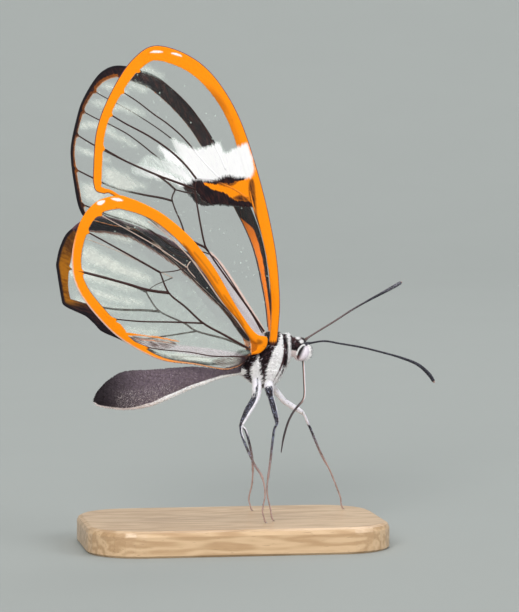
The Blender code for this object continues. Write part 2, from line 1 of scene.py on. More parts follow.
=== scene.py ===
"""Looks of a life-size glasswing butterfly: clear wings, scaled body and limbs, and the stage.

Lengths are in millimetres in the body frame: +X toward the head, +Y to the animal's left,
+Z up, origin at the middle of the thorax. place() moves points to the frame of the model.
"""
import math

import bpy
import numpy as np
from mathutils import Matrix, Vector
from bpy.props import FloatProperty, FloatVectorProperty, IntProperty, PointerProperty


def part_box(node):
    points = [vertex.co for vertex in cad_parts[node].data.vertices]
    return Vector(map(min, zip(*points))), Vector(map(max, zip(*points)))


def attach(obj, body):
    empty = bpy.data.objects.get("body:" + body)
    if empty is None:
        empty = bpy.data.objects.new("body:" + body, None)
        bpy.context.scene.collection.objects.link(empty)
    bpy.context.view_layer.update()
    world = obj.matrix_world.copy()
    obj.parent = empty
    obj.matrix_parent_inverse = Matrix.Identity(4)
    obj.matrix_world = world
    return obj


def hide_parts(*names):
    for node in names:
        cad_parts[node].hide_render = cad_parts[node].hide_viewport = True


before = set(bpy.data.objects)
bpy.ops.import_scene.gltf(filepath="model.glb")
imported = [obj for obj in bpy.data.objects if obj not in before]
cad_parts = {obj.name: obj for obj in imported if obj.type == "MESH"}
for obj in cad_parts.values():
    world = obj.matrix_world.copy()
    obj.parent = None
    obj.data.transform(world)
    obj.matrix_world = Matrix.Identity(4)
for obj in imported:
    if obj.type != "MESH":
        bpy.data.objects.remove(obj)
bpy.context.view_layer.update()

bl_info = {
    "name": "Glasswing butterfly",
    "version": (1, 0, 0),
    "blender": (4, 5, 0),
    "location": "View3D > Sidebar > Glasswing",
    "description": "Builds the wings, body, limbs and stage of a glasswing butterfly",
    "category": "Add Mesh",
}

MM = 0.001
# Sign of Y on each side of the body.
SIDES = {"right": -1, "left": 1}
Y_AXIS = (0.0, 1.0, 0.0)
# Distance that stands for "outside every patch".
OUTSIDE = -9.0
# Rings and sides of the body skin, and points of one tuft.
SKIN_GRID = (420, 120)
TUFT_CORNERS = 7
# Room left at the edge of the coats' map, and the width of what is used.
UV_EDGE = 0.02
UV_SPAN = 0.96

# Body frame in the model: the middle of the thorax is ahead of the base's own middle and
# this high over its top.
BASE_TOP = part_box("stand_base")[1][2] / MM
THORAX_HEIGHT = 14.9
BODY_ORIGIN = (3.4, 0.0, BASE_TOP + THORAX_HEIGHT)
BASE_LEVEL = -THORAX_HEIGHT

# Wing outlines, root front over the highest point to root rear: distance backward and
# upward in the wing plane, and width of the coloured rim there.
FOREWING_MARGIN = [
    (-0.3, -1.0, 0.72), (-0.52, 0.6, 0.76), (-0.61, 3.8, 0.82), (-0.08, 8.65, 1.0), (1.48, 15.1, 1.22),
    (3.7, 21.2, 1.12), (6.8, 25.3, 1.3), (10.76, 27.0, 1.38), (13.2, 25.7, 1.12), (15.25, 22.55, 0.88),
    (16.44, 19.3, 0.82), (16.72, 15.6, 0.8), (16.68, 14.39, 0.76), (16.44, 13.78, 0.62),
    (15.73, 13.55, 0.44), (14.79, 13.38, 0.3), (11.0, 10.7, 0.16), (7.4, 7.1, 0.16), (4.1, 3.2, 0.15),
    (1.6, 0.2, 0.14), (0.6, -1.0, 0.14),
]
FOREWING_LEFT_MARGIN = [
    (-0.3, -1.0, 0.5), (-0.52, 0.6, 0.5), (-0.74, 4.2, 0.58), (-0.78, 8.6, 1.0), (-0.1, 12.2, 1.38),
    (1.15, 15.5, 1.36), (3.7, 21.2, 1.36), (6.8, 25.1, 1.4), (9.2, 26.4, 1.3), (11.0, 26.84, 1.15),
    (12.34, 26.5, 1.0), (13.44, 25.58, 0.74), (14.78, 23.73, 0.54), (15.55, 21.98, 0.46),
    (16.33, 19.67, 0.42), (16.53, 18.02, 0.44), (16.51, 15.94, 0.47), (16.39, 14.12, 0.46),
    (16.05, 13.0, 0.42), (15.4, 12.3, 0.34), (14.2, 11.9, 0.24),
] + FOREWING_MARGIN[-5:]
HINDWING_MARGIN = [
    (0.62, -0.73, 0.25), (0.1, -0.7, 0.7), (-0.38, -0.34, 0.95), (-0.68, 0.15, 0.95), (-0.62, 0.85, 0.95),
    (0.2, 1.08, 0.85), (0.85, 1.7, 0.66), (1.67, 2.86, 0.62), (2.55, 4.22, 0.85), (3.44, 5.8, 1.0),
    (4.31, 7.25, 1.05), (5.32, 8.65, 1.08), (6.75, 10.35, 1.02), (8.86, 12.15, 0.98),
    (10.54, 13.13, 1.02), (12.22, 13.83, 1.18), (13.4, 14.05, 1.22), (15.3, 13.45, 1.12),
    (16.73, 11.67, 0.98), (17.46, 8.45, 0.88), (16.84, 5.4, 0.9), (14.23, 2.02, 0.95),
    (11.76, 0.07, 0.52), (9.0, -1.22, 0.28), (6.0, -1.66, 0.15), (3.46, -2.15, 0.13), (2.2, -1.98, 0.1),
    (1.45, -1.5, 0.05), (0.95, -0.73, 0.04),
]
HINDWING_LEFT_MARGIN = HINDWING_MARGIN[:6] + [
    (0.98, 2.0, 0.6), (1.5, 3.13, 0.6), (2.42, 5.12, 0.8), (3.38, 6.93, 0.95), (4.34, 8.68, 1.02),
    (5.36, 10.06, 1.02), (6.97, 11.45, 1.05), (9.76, 12.85, 1.08), (11.98, 13.72, 1.1),
    (13.7, 13.95, 1.15), (14.9, 13.5, 1.18), (15.68, 12.94, 1.2), (16.47, 12.22, 1.25),
    (17.16, 10.87, 1.32), (17.55, 9.55, 1.3), (17.62, 9.15, 1.28), (17.6, 8.6, 1.15), (17.52, 6.98, 0.85),
    (17.42, 5.6, 0.85), (17.33, 5.2, 0.88), (16.95, 4.85, 0.92), (16.3, 4.45, 0.95), (15.32, 3.84, 0.95),
    (14.62, 2.99, 0.9), (14.0, 2.15, 0.86), (12.52, 1.25, 0.72), (9.0, -0.95, 0.45), (5.0, -1.85, 0.3),
    (2.2, -1.95, 0.1), (1.45, -1.5, 0.05), (0.95, -0.73, 0.04),
]
# Veins of each wing, root end first: points and full width.
FOREWING_VEINS = {
    "subcosta": ([(-0.1, 0.6), (-0.12, 5.8), (0.42, 9.4), (1.72, 13.2), (2.48, 16.2)], 0.13),
    "radius": ([(0.05, 1.0), (0.33, 5.8), (0.98, 9.2), (2.05, 12.6), (2.7, 16.0), (3.95, 19.8),
        (5.85, 22.9), (8.9, 25.5)], 0.18),
    "cubitus": ([(0.8, 0.7), (2.36, 3.0), (4.41, 5.8), (6.16, 8.3), (6.52, 9.15), (6.82, 10.5),
        (7.11, 12.07), (7.32, 13.28), (7.39, 13.95), (7.27, 14.89)], 0.2),
    "discal": ([(2.5, 13.1), (4.1, 14.1), (6.0, 14.8), (7.27, 14.89)], 0.2),
    "radial_fork": ([(4.6, 15.7), (5.3, 17.3), (6.9, 20.11), (8.39, 21.98), (10.41, 23.7),
        (12.6, 24.62)], 0.12),
    "media_first": ([(5.1, 14.9), (6.47, 16.3), (8.37, 18.51), (9.86, 19.84), (11.21, 20.78),
        (12.69, 21.91), (14.03, 22.77), (15.0, 23.3)], 0.15),
    "media_second": ([(7.27, 14.89), (8.36, 16.23), (9.85, 17.58), (11.74, 18.85), (13.75, 19.91),
        (15.22, 20.78), (16.1, 21.2)], 0.19),
    "media_third": ([(7.4, 13.95), (9.02, 14.56), (10.5, 15.1), (12.26, 15.84), (14.0, 16.65),
        (15.75, 17.65), (16.6, 18.1)], 0.2),
    "cubitus_fork": ([(6.16, 8.3), (6.45, 8.59), (8.01, 9.44), (10.0, 11.15), (11.7, 12.07),
        (13.38, 12.71), (15.9, 14.0)], 0.19),
    "anal": ([(0.95, 0.55), (1.95, 2.33), (3.41, 4.63), (4.86, 6.77), (5.9, 7.9), (8.0, 8.7),
        (11.2, 11.2), (14.5, 13.1)], 0.13),
}
FOREWING_LEFT_VEINS = {**FOREWING_VEINS,
    "radius": ([(-0.08, 1.0), (-0.14, 4.2), (0.26, 8.6), (1.32, 12.2), (2.7, 16.0), (3.95, 19.8),
        (5.85, 22.9), (8.9, 25.5)], 0.15),
    "cubitus": ([(0.8, 0.7), (2.36, 3.0), (4.41, 5.8), (6.16, 8.3), (6.79, 11.39), (7.18, 12.69),
        (7.4, 13.68), (7.34, 14.1), (6.98, 14.7)], 0.2),
    "discal": ([(2.5, 13.1), (4.1, 14.0), (5.82, 14.33), (6.98, 14.7)], 0.2),
    "radial_fork": ([(4.6, 17.7), (6.06, 18.98), (7.46, 20.27), (9.0, 21.5), (10.82, 22.82),
        (12.59, 23.92), (13.7, 24.7)], 0.12),
    "media_first": ([(5.1, 14.9), (6.47, 16.3), (8.58, 18.19), (9.58, 19.17), (10.98, 20.39),
        (12.8, 21.57), (13.59, 21.97), (15.0, 22.9)], 0.15),
    "media_second": ([(6.98, 14.7), (7.66, 15.46), (8.68, 16.3), (9.87, 16.95), (11.57, 17.92),
        (14.24, 19.59), (15.8, 20.75)], 0.19),
    "media_third": ([(7.4, 13.68), (8.41, 14.05), (10.18, 14.53), (12.74, 15.36), (14.64, 16.42),
        (16.4, 17.5)], 0.2),
}
HINDWING_VEINS = {
    "subcosta": ([(0.6, 0.38), (1.7, 1.8), (2.81, 3.3), (3.83, 4.46), (5.0, 6.11), (6.29, 7.9),
        (7.01, 8.75), (8.85, 10.51), (10.54, 11.71)], 0.13),
    "radius": ([(6.89, 7.42), (9.4, 9.19), (11.65, 10.53), (14.59, 12.15), (15.9, 12.8)], 0.09),
    "cross": ([(6.61, 8.01), (6.89, 7.42), (6.13, 6.48)], 0.1),
    "cubitus": ([(0.9, -0.3), (3.27, 1.07), (5.3, 2.23), (7.01, 3.8), (8.55, 5.12), (9.41, 7.04)], 0.21),
    "cell_end": ([(6.89, 7.42), (8.19, 7.11), (9.41, 7.04)], 0.11),
    "media_first": ([(9.41, 7.04), (12.3, 8.7), (16.8, 11.2)], 0.18),
    "media_second": ([(8.55, 5.12), (10.53, 5.41), (12.74, 6.08), (17.2, 7.3)], 0.26),
    "cubitus_fork": ([(5.3, 2.23), (8.4, 2.38), (11.4, 2.5), (14.9, 2.9)], 0.16),
    "anal": ([(0.9, -0.95), (4.26, -0.88), (6.58, -0.48), (9.3, -0.2), (11.4, 0.25)], 0.12),
}
HINDWING_LEFT_VEINS = {
    "radius": ([(6.82, 7.29), (9.4, 8.9), (12.2, 10.6), (15.9, 12.4)], 0.09),
    "cubitus": ([(0.9, -0.3), (2.53, 0.6), (5.16, 1.59), (6.25, 2.52), (8.38, 3.88), (9.2, 5.37),
        (9.42, 6.02)], 0.21),
    "cell_end": ([(6.82, 7.29), (7.73, 6.95), (8.63, 6.61), (9.42, 6.02)], 0.11),
    "media_first": ([(9.42, 6.02), (10.37, 6.55), (12.58, 7.55), (14.75, 8.3), (17.2, 9.0)], 0.18),
    "media_second": ([(8.38, 3.88), (9.77, 4.08), (11.48, 4.24), (13.31, 4.55), (17.0, 5.6)], 0.24),
    "cubitus_fork": ([(5.16, 1.59), (6.76, 1.45), (8.36, 1.31), (10.6, 1.15), (12.9, 1.6)], 0.16),
    "anal": ([(0.9, -1.1), (4.26, -1.15), (6.58, -0.95), (9.0, -0.75)], 0.12),
}
PALE_VEINS = {"hindwing subcosta", "hindwing radius", "hindwing cross"}
BAND_VEINS = {"forewing subcosta", "forewing radius"}
BARE_VEINS = {"media_second", "media_third"}

# Patches of scales as closed outlines in the wing plane.
FOREWING_WHITE = [
    [(2.62, 18.05), (3.4, 17.87), (4.63, 17.3), (5.05, 18.02), (5.46, 18.18), (6.69, 17.67),
     (7.51, 17.67), (8.65, 18.19), (9.57, 18.6), (9.15, 17.47), (8.74, 16.66), (7.75, 14.95), (7.0, 14.8),
     (6.46, 14.7), (5.43, 14.75), (4.41, 15.15), (3.37, 14.95), (2.2, 15.05), (1.95, 15.6), (2.05, 16.4)],
    [(7.6, 15.0), (7.95, 14.5), (8.73, 15.03), (10.57, 15.64), (12.42, 16.26), (11.81, 17.07),
     (10.52, 16.8), (9.05, 16.15)],
]
FOREWING_HAZE = [
    [(15.94, 15.72), (15.61, 16.05), (14.4, 15.72), (13.06, 14.91), (11.84, 14.24), (12.24, 13.97),
     (13.72, 13.77), (14.79, 13.91), (15.73, 14.59)],
    [(12.56, 25.16), (11.22, 24.89), (10.42, 24.36), (10.68, 24.03), (11.76, 24.49), (12.69, 24.82)],
    [(14.03, 23.7), (12.83, 23.57), (11.75, 23.04), (12.29, 22.77), (13.63, 23.3)],
    [(15.16, 21.71), (13.76, 21.71), (12.28, 21.04), (12.28, 20.64), (13.89, 21.04), (15.09, 21.18)],
    [(15.62, 19.45), (13.75, 18.65), (12.8, 17.85), (13.34, 17.98), (15.48, 18.92)],
]
FOREWING_BAR = [
    [(7.75, 14.85), (7.3, 13.9), (6.65, 13.0), (5.85, 12.6), (5.0, 12.6), (4.2, 12.55), (3.2, 12.35),
     (2.2, 12.3), (1.0, 12.4), (1.4, 15.4), (3.4, 15.3), (5.4, 15.2), (6.5, 15.05)],
]
FOREWING_AMBER = [
    [(6.6, 14.5), (5.43, 14.4), (4.9, 14.5), (4.3, 14.38), (3.37, 14.7), (1.93, 15.0), (1.3, 14.2),
     (0.8, 12.0), (1.5, 12.3), (2.5, 12.8), (3.76, 12.95), (4.6, 13.58), (5.63, 13.85)],
]
FOREWING_BROWN = [
    [(5.85, 15.36), (5.51, 14.8), (5.1, 14.35), (4.42, 14.22), (3.81, 14.35), (3.41, 14.8), (3.05, 15.25),
     (3.89, 15.2), (4.83, 15.25)],
    [(2.4, 14.6), (2.05, 14.8), (1.85, 13.52), (1.76, 12.31), (1.6, 10.6), (1.8, 10.6), (2.2, 12.4),
     (2.4, 13.6)],
    [(3.9, 13.1), (3.0, 13.4), (2.3, 12.7), (2.3, 12.3), (3.1, 12.8)],
]
FOREWING_PEARL = [
    [(0.77, 0.7), (1.81, 2.43), (3.27, 4.73), (4.72, 6.87), (5.55, 7.95), (6.1, 8.2), (6.2, 7.0),
     (5.3, 5.2), (4.3, 3.6), (3.2, 2.2), (1.9, 0.4), (0.9, -0.6)],
]
FOREWING_PINK = [
    [(0.7, 0.8), (1.74, 2.52), (3.2, 4.8), (4.65, 6.94), (5.85, 8.2), (5.98, 8.08), (4.84, 6.78),
     (3.38, 4.62), (1.92, 2.34), (0.88, 0.62)],
]
FOREWING_SPECKS = [
    [(11.6, 26.36), (11.2, 26.56), (10.5, 26.5), (10.42, 26.36), (11.09, 26.32)],
    [(9.68, 26.32), (9.22, 26.36), (8.74, 26.14), (8.68, 26.0), (9.12, 26.08)],
    [(-0.05, 10.45), (0.05, 10.75), (0.3, 10.7), (0.2, 10.35)],
]
HINDWING_HAZE = [
    [(16.2, 9.6), (13.0, 8.0), (10.2, 6.6), (11.0, 6.1), (14.2, 7.2), (16.6, 8.2)],
    [(13.2, 1.9), (11.6, 1.9), (9.5, 1.7), (9.6, 1.35), (12.0, 1.45), (12.8, 1.5)],
    [(15.8, 5.8), (13.4, 5.0), (11.0, 4.4), (11.2, 4.0), (14.0, 4.4), (15.9, 5.2)],
    [(13.6, 12.9), (11.6, 12.2), (10.2, 11.3), (10.8, 11.0), (12.8, 11.9), (14.4, 12.5)],
    [(9.6, -0.45), (6.7, -0.62), (4.6, -0.95), (4.5, -1.45), (6.7, -1.35), (8.8, -0.95)],
]
# Where the far hindwing's dark band lies behind the near one: kept free of the painted backlight glow.
HINDWING_CLEAR = [
    [(15.9, 12.5), (12.8, 11.5), (10.5, 11.0), (8.5, 10.1), (6.8, 8.7), (5.3, 7.2), (3.9, 5.2),
     (2.4, 2.9), (1.0, 0.8), (1.7, 0.9), (2.9, 2.1), (4.4, 3.4), (5.8, 5.1), (7.0, 6.3), (8.7, 7.0),
     (10.4, 8.6), (11.6, 9.4), (13.6, 10.0), (15.8, 10.3)],
]
HINDWING_BAR = [
    [(11.8, 1.1), (10.67, 0.93), (8.97, 0.72), (7.9, 0.45), (8.0, 0.0), (8.67, -0.11), (10.64, -0.08),
     (11.5, 0.45)],
    [(4.4, -1.3), (3.55, -1.1), (1.85, -0.98), (0.9, -1.0), (0.9, -1.6), (2.11, -1.91), (3.54, -1.9)],
]
HINDWING_AMBER = [
    [(12.8, 1.5), (10.95, 1.26), (9.15, 1.0), (7.5, 0.62), (7.55, 0.48), (9.2, 0.8), (10.95, 1.08),
     (12.6, 1.15)],
    [(14.6, 2.9), (13.7, 2.7), (13.15, 2.42), (12.75, 2.05), (12.42, 1.45), (13.2, 1.3)],
    [(-0.9, 0.9), (0.1, 1.5), (0.9, 1.75), (1.02, 1.1), (0.99, 0.68), (0.89, 0.07), (0.83, -0.66),
     (0.3, -0.78), (-0.3, -0.85), (-0.9, -0.2)],
]
HINDWING_BROWN = [
    [(0.3, 0.62), (0.06, 0.66), (-0.22, 0.42), (-0.04, 0.22), (0.2, 0.26)],
    [(7.2, 9.62), (6.3, 8.45), (5.28, 7.2), (4.42, 5.92), (3.54, 4.62), (2.66, 3.46), (2.74, 3.38),
     (3.62, 4.54), (4.5, 5.84), (5.36, 7.12), (6.38, 8.37), (7.28, 9.52)],
    [(6.2, 8.85), (5.3, 7.75), (4.15, 6.15), (4.2, 6.1), (5.36, 7.68), (6.28, 8.78)],
    [(3.4, 4.8), (2.4, 3.45), (1.6, 2.15), (1.66, 2.1), (2.46, 3.38), (3.46, 4.74)],
]
HINDWING_PEARL = [
    [(12.0, 1.05), (10.4, 0.85), (7.6, 0.35), (4.0, -0.2), (1.4, -0.75), (1.2, -1.05), (4.2, -1.1),
     (7.4, -0.55), (10.4, 0.15), (12.0, 0.55)],
    [(9.68, 11.4), (8.69, 10.9), (7.41, 9.9), (6.7, 9.2), (6.98, 8.95), (8.12, 9.75), (8.97, 10.48)],
]
HINDWING_SPECKS = [
    [(15.24, 13.34), (15.05, 13.55), (14.6, 13.66), (14.44, 13.58), (14.6, 13.34), (15.0, 13.18)],
    [(13.96, 13.8), (13.25, 13.84), (12.8, 13.64), (12.9, 13.54), (13.45, 13.56)],
]
# Root of each kind of wing, its patches, and the rows and columns of its grid.
WINGS = {
    "forewing": {
        "root": (0.25, -1.0, 1.75),
        "white": FOREWING_WHITE, "haze": FOREWING_HAZE, "bar": FOREWING_BAR,
        "amber": FOREWING_AMBER, "pearl": FOREWING_PEARL, "specks": FOREWING_SPECKS,
        "pink": FOREWING_PINK, "brown": FOREWING_BROWN, "clear": [],
        "rows": 230, "across": 120,
    },
    "hindwing": {
        "root": (-1.05, -1.8, 1.15),
        "white": [], "haze": HINDWING_HAZE, "bar": HINDWING_BAR,
        "amber": HINDWING_AMBER, "pearl": HINDWING_PEARL, "specks": HINDWING_SPECKS,
        "pink": [], "brown": HINDWING_BROWN, "clear": HINDWING_CLEAR,
        "rows": 220, "across": 120,
    },
}
# Margin and veins of each wing, and the dark band of a hindwing's inner face: distance
# backward of the front margin, and how far the band reaches in from there.
SHAPES = {
    "forewing_right": (FOREWING_MARGIN, FOREWING_VEINS, []),
    "forewing_left": (FOREWING_LEFT_MARGIN, FOREWING_LEFT_VEINS, []),
    "hindwing_right": (HINDWING_MARGIN, HINDWING_VEINS, [(0.0, 0.3), (3.0, 0.7), (9.0, 0.8)]),
    "hindwing_left": (HINDWING_LEFT_MARGIN, HINDWING_LEFT_VEINS,
                      [(0.8, 0.25), (1.5, 0.45), (2.4, 1.05), (3.4, 1.4), (4.3, 1.75),
                       (5.4, 1.95), (7.0, 2.0), (9.8, 1.5), (12.0, 1.75), (14.0, 1.8)]),
}
# How far the patches of the left forewing lie forward and up.
LEFT_PATCH_SHIFT = (1.5, -0.35)
# Pose of each wing in degrees: lean outward, sweep backward and yaw of the rear edge.
WING_POSE = {
    "forewing_right": (4.5, 0.0, 0.0),
    "hindwing_right": (7.0, 0.0, 0.0),
    "forewing_left": (14.0, 4.1, -6.5),
    "hindwing_left": (28.0, 2.9, 0.6),
}
# Height of the arch of a wing, height of its pleats and how many a full turn round their
# focus would have, and half thickness of its lip.
WING_ARCH = 0.35
PLEAT = 0.06
PLEATS = 22.0
LIP_HALF = 0.008
# How far before and below the root the pleats meet, and the same for the rows of scales,
# with the length on their map of one radian round that point.
PLEAT_FOCUS = (3.0, 3.0)
ROWS_FOCUS = (2.0, 3.0)
ROWS_TURN = 12.0
# Distance between the rings of a vein, and between its end and the margin.
VEIN_STEP = 0.28
VEIN_END = 0.08

# Body sections from tail to head: x, centre height, half height, half width.
BODY = [
    (-16.2, -3.84, 0.2, 0.16), (-15.8, -3.62, 0.72, 0.43), (-14.9, -3.26, 1.26, 0.68),
    (-13.7, -2.99, 1.7, 0.88), (-12.5, -2.88, 1.78, 0.94), (-10.9, -2.72, 1.66, 0.88),
    (-9.1, -2.31, 1.38, 0.76), (-7.2, -1.84, 1.02, 0.62), (-6.0, -1.68, 0.77, 0.52),
    (-4.5, -1.5, 0.42, 0.38), (-3.2, -1.2, 0.46, 0.44), (-2.6, -1.0, 0.58, 0.54),
    (-2.25, -0.88, 0.86, 0.74), (-1.85, -0.62, 1.42, 0.98), (-1.1, -0.46, 2.1, 1.22),
    (-0.3, -0.24, 2.5, 1.34), (0.45, -0.1, 2.48, 1.3), (1.05, 0.17, 2.12, 1.12), (1.55, 0.5, 1.58, 0.92),
    (1.8, 0.72, 1.36, 0.76), (2.02, 0.95, 1.04, 0.6), (2.2, 0.96, 0.86, 0.48), (2.42, 0.92, 0.82, 0.44),
    (2.7, 0.78, 0.98, 0.46), (3.05, 0.7, 1.05, 0.46), (3.32, 0.67, 0.96, 0.42), (3.52, 0.63, 0.7, 0.32),
    (3.6, 0.62, 0.2, 0.12),
]
SEGMENT_ENDS = (-3.3, -4.9, -6.4, -8.0, -9.7, -11.4, -13.0, -14.4, -15.4)

# Stripes of the thorax as curves of x over height z, front to rear.
COLLAR_REAR = [
    (-2.9, 0.5), (-2.13, 0.78), (-1.6, 1.06), (-1.2, 1.32), (-0.7, 1.62), (-0.46, 1.68), (0.19, 1.76),
    (1.1, 1.81), (2.4, 1.81),
]
BAND_FRONT = [
    (-2.9, 0.1), (-2.2, 0.37), (-1.2, 0.83), (-0.46, 1.11), (0.65, 1.34), (1.48, 1.34), (2.5, 1.4),
]
BAND_REAR = [
    (-2.6, -0.28), (-1.1, -0.28), (-0.59, -0.12), (0.0, 0.12), (0.83, 0.42), (1.48, 0.93), (1.9, 1.05),
    (2.5, 1.2),
]
HIND_FRONT = [
    (-2.6, -0.5), (-1.83, -0.52), (-1.3, -0.74), (-0.83, -0.76), (-0.41, -0.74), (-0.06, -0.84),
    (0.3, -1.02),
]
HIND_REAR = [
    (-2.6, -1.3), (-1.83, -1.47), (-1.3, -1.64), (-0.83, -1.61), (-0.41, -1.34), (-0.06, -1.17),
    (0.3, -1.02),
]
SPLIT_LINE = [
    (-2.9, 0.3), (-2.07, 0.64), (-1.6, 0.84), (-1.18, 1.08), (-0.71, 1.26), (-0.5, 1.3),
]
# Half width of the white line between them over height.
SPLIT_HALF = [
    (-2.07, 0.15), (-1.6, 0.13), (-1.18, 0.1), (-0.71, 0.05), (-0.5, 0.0),
]
# Height of the pale underside of the abdomen over x.
UNDERSIDE = [(-16.0, 0.12), (-13.0, 0.18), (-11.5, 0.32), (-9.5, 0.46), (-6.0, 0.36),
             (-3.0, 0.18)]
# White spots of the head: x, z, half length and half height.
HEAD_SPOTS = [
    (2.88, 1.7, 0.22, 0.11), (3.13, 1.4, 0.2, 0.17), (3.62, 1.46, 0.12, 0.14), (3.46, 1.19, 0.14, 0.08),
]

EYE_CENTRE = (3.12, 0.66, 0.38)
EYE_RADII = (0.60, 0.55, 0.76)
EYE_TILT = 27.0
# Depth of the eye's flatter rear half against the front.
EYE_REAR = 0.76
PALP_PATH = [
    (3.2, 0.4, -0.1), (3.45, 0.46, -0.02), (3.66, 0.48, 0.22), (3.76, 0.47, 0.6), (3.74, 0.44, 1.0),
]
PALP_RADII = (0.20, 0.27, 0.28, 0.24, 0.06)
PROBOSCIS_PATH = [
    (3.26, 0.0, 0.05), (3.34, 0.0, -0.9), (3.4, 0.0, -2.2), (3.44, 0.0, -3.4), (3.28, 0.0, -4.05),
    (2.78, 0.0, -4.65), (2.3, 0.0, -5.27), (1.85, 0.0, -6.2), (1.45, 0.0, -7.6), (1.24, 0.0, -8.9),
]
ANTENNA_PATHS = {
    "right": [(3.3, -0.3, 1.16), (3.6, -0.36, 1.22), (3.9, -0.42, 1.28), (5.17, -0.9, 1.48),
        (6.63, -1.3, 1.25), (8.45, -1.8, 0.94), (10.28, -2.3, 0.49), (12.0, -2.7, 0.0),
        (13.5, -3.05, -0.62), (14.5, -3.28, -1.5), (15.02, -3.4, -2.3)],
    "left": [(3.3, 0.3, 1.3), (3.52, 0.36, 1.49), (3.86, 0.44, 1.74), (5.1, 1.3, 2.34), (6.7, 2.4, 3.1),
        (8.6, 3.7, 4.06), (10.4, 4.9, 4.86), (12.0, 5.95, 5.52), (13.2, 6.7, 6.04), (14.1, 7.25, 6.46)],
}
FORELEG_PATH = [
    (0.22, 0.4, -2.38), (0.62, 0.46, -1.85), (1.18, 0.5, -1.2), (1.56, 0.48, -0.55), (1.8, 0.42, -0.08),
]
LEG_PATHS = {
    "midleg_right": [(-0.1, -0.42, -1.85), (0.02, -1.1, -3.3), (0.3, -1.7, -4.7), (0.49, -2.2, -5.9),
        (0.18, -2.38, -6.6), (-0.17, -2.8, -8.82), (-0.34, -3.0, -9.9), (-0.61, -3.2, -12.0),
        (-0.35, -3.42, -13.6)],
    "hindleg_right": [(-1.12, -0.42, -1.6), (-1.34, -1.4, -3.65), (-2.24, -2.0, -5.08),
        (-2.91, -2.5, -6.22), (-2.74, -2.9, -7.38), (-1.84, -3.5, -9.54), (-1.17, -3.85, -10.7),
        (-0.95, -4.25, -12.2), (-1.25, -4.65, -13.6)],
    "midleg_left": [(-0.1, 0.42, -1.85), (1.4, 1.1, -3.89), (2.47, 1.6, -4.71), (3.65, 2.15, -5.48),
        (4.29, 2.6, -6.64), (5.62, 3.5, -9.46), (6.6, 4.0, -11.2), (7.6, 4.4, -13.6)],
    "hindleg_left": [(-0.85, 0.42, -1.6), (-0.95, 1.3, -3.6), (-1.65, 1.9, -5.1), (-2.09, 2.38, -6.45),
        (-1.68, 2.62, -7.1), (-1.13, 3.2, -8.87), (-0.86, 3.65, -10.5), (-0.85, 4.1, -12.2),
        (-1.1, 4.45, -13.6)],
}
# Which point of a leg's path is its hip and its knee.
HIP_POINT = 1
KNEE_POINT = 3
# Share of the way from the knee to the end where the foot begins.
ANKLE_SHARE = 0.56
FOOT_JOINTS = 5
# What each kind of part adds to the seed of the coat.
SEED_STEPS = {"eye": 20, "palp": 40, "leg": 60, "foreleg": 90}
# Pale stripe along each thigh and shank: how far to the front of the leg it lies, half width.
LEG_STRIPES = {"midleg_right": (0.88, 0.2), "hindleg_right": (0.78, 0.68),
               "midleg_left": (0.0, 2.0), "hindleg_left": (0.78, 0.68)}

# Camera: direction from the middle of the thorax, distance, and where that middle is seen.
PICTURE = (519, 612)
AZIMUTH = -9.0
ELEVATION = 3.5
DISTANCE = 300.0
FOCAL_PIXELS = 3240.0
# Height of the picture on the sensor, mm.
SENSOR = 36.0
THORAX_PIXEL = (268.0, 357.0)


def place(points):
    """Body frame in millimetres to the frame of the model in metres."""
    return (np.asarray(points, float) + BODY_ORIGIN) * MM


def tone(name, text, value):
    """A colour of the looks."""
    return FloatVectorProperty(name=name, description=text, default=value, subtype="COLOR",
                               min=0, max=1)


def number(name, text, value, **limits):
    """A length, power or share of the looks."""
    return FloatProperty(name=name, description=text, default=value, **limits)


def whole(name, text, value, **limits):
    """A count or seed of the looks."""
    return IntProperty(name=name, description=text, default=value, **limits)


class WingLooks(bpy.types.PropertyGroup):
    """Colours and sizes of the wings."""
    orange: tone("Orange", "Scales of the outer face's rim", (1.0, 0.292, 0.001))
    rust: tone("Rust", "Inner line of the rim's inner face", (0.72, 0.15, 0.01))
    umber: tone("Umber", "Shaded scales and wing veins", (0.05, 0.016, 0.014))
    black: tone("Black", "Darkest scales", (0.008, 0.005, 0.008))
    white: tone("White", "White scales", (0.87, 0.86, 0.87))
    pearl: tone("Pearl", "Pale scales of the hind margin", (0.52, 0.43, 0.43))
    clear: tone("Clear", "Tint of the clear membrane", (0.5, 0.64, 0.57))
    cover: number("Cover", "Opacity of one face of the membrane", 0.008, min=0, max=1,
                  subtype="FACTOR")
    half: number("Half thickness", "Half thickness of the membrane, mm", 0.018, min=0.005, max=0.2)
    rim_half: number("Rim swell", "Added half thickness of the rim, mm", 0.035, min=0, max=0.2)
    costa_half: number("Costa swell", "Added half thickness of the front edge, mm", 0.2, min=0, max=0.3)
    fringe: number("Fringe", "Length of the fringe scales, mm", 0.13, min=0.02, max=0.6)
    seed: whole("Seed", "Seed of the scales", 7, min=0)


class BodyLooks(bpy.types.PropertyGroup):
    """Colours and coat of the body."""
    dark: tone("Dark", "Dark scales of head and thorax", (0.01, 0.006, 0.009))
    brown: tone("Brown", "Brown tips among the dark scales", (0.11, 0.052, 0.058))
    white: tone("White", "White scales", (0.99, 0.98, 0.99))
    mauve: tone("Mauve", "Scales of the abdomen", (0.125, 0.092, 0.12))
    eye_dark: tone("Eye", "Rear of the eye", (0.012, 0.009, 0.012))
    # Painted sheen: the pale front of the eye stands in for light gleaming off it.
    eye_sheen: tone("Eye front", "Front of the eye", (0.88, 0.8, 0.88))
    coat: number("Coat", "Length of the thorax scales, mm", 0.42, min=0.05, max=1.0)
    tufts: whole("Tufts", "Tufts on thorax and head", 9000, min=100)
    scales: whole("Scales", "Scales on the abdomen", 8000, min=100)
    seed: whole("Seed", "Seed of the coat", 3, min=0)


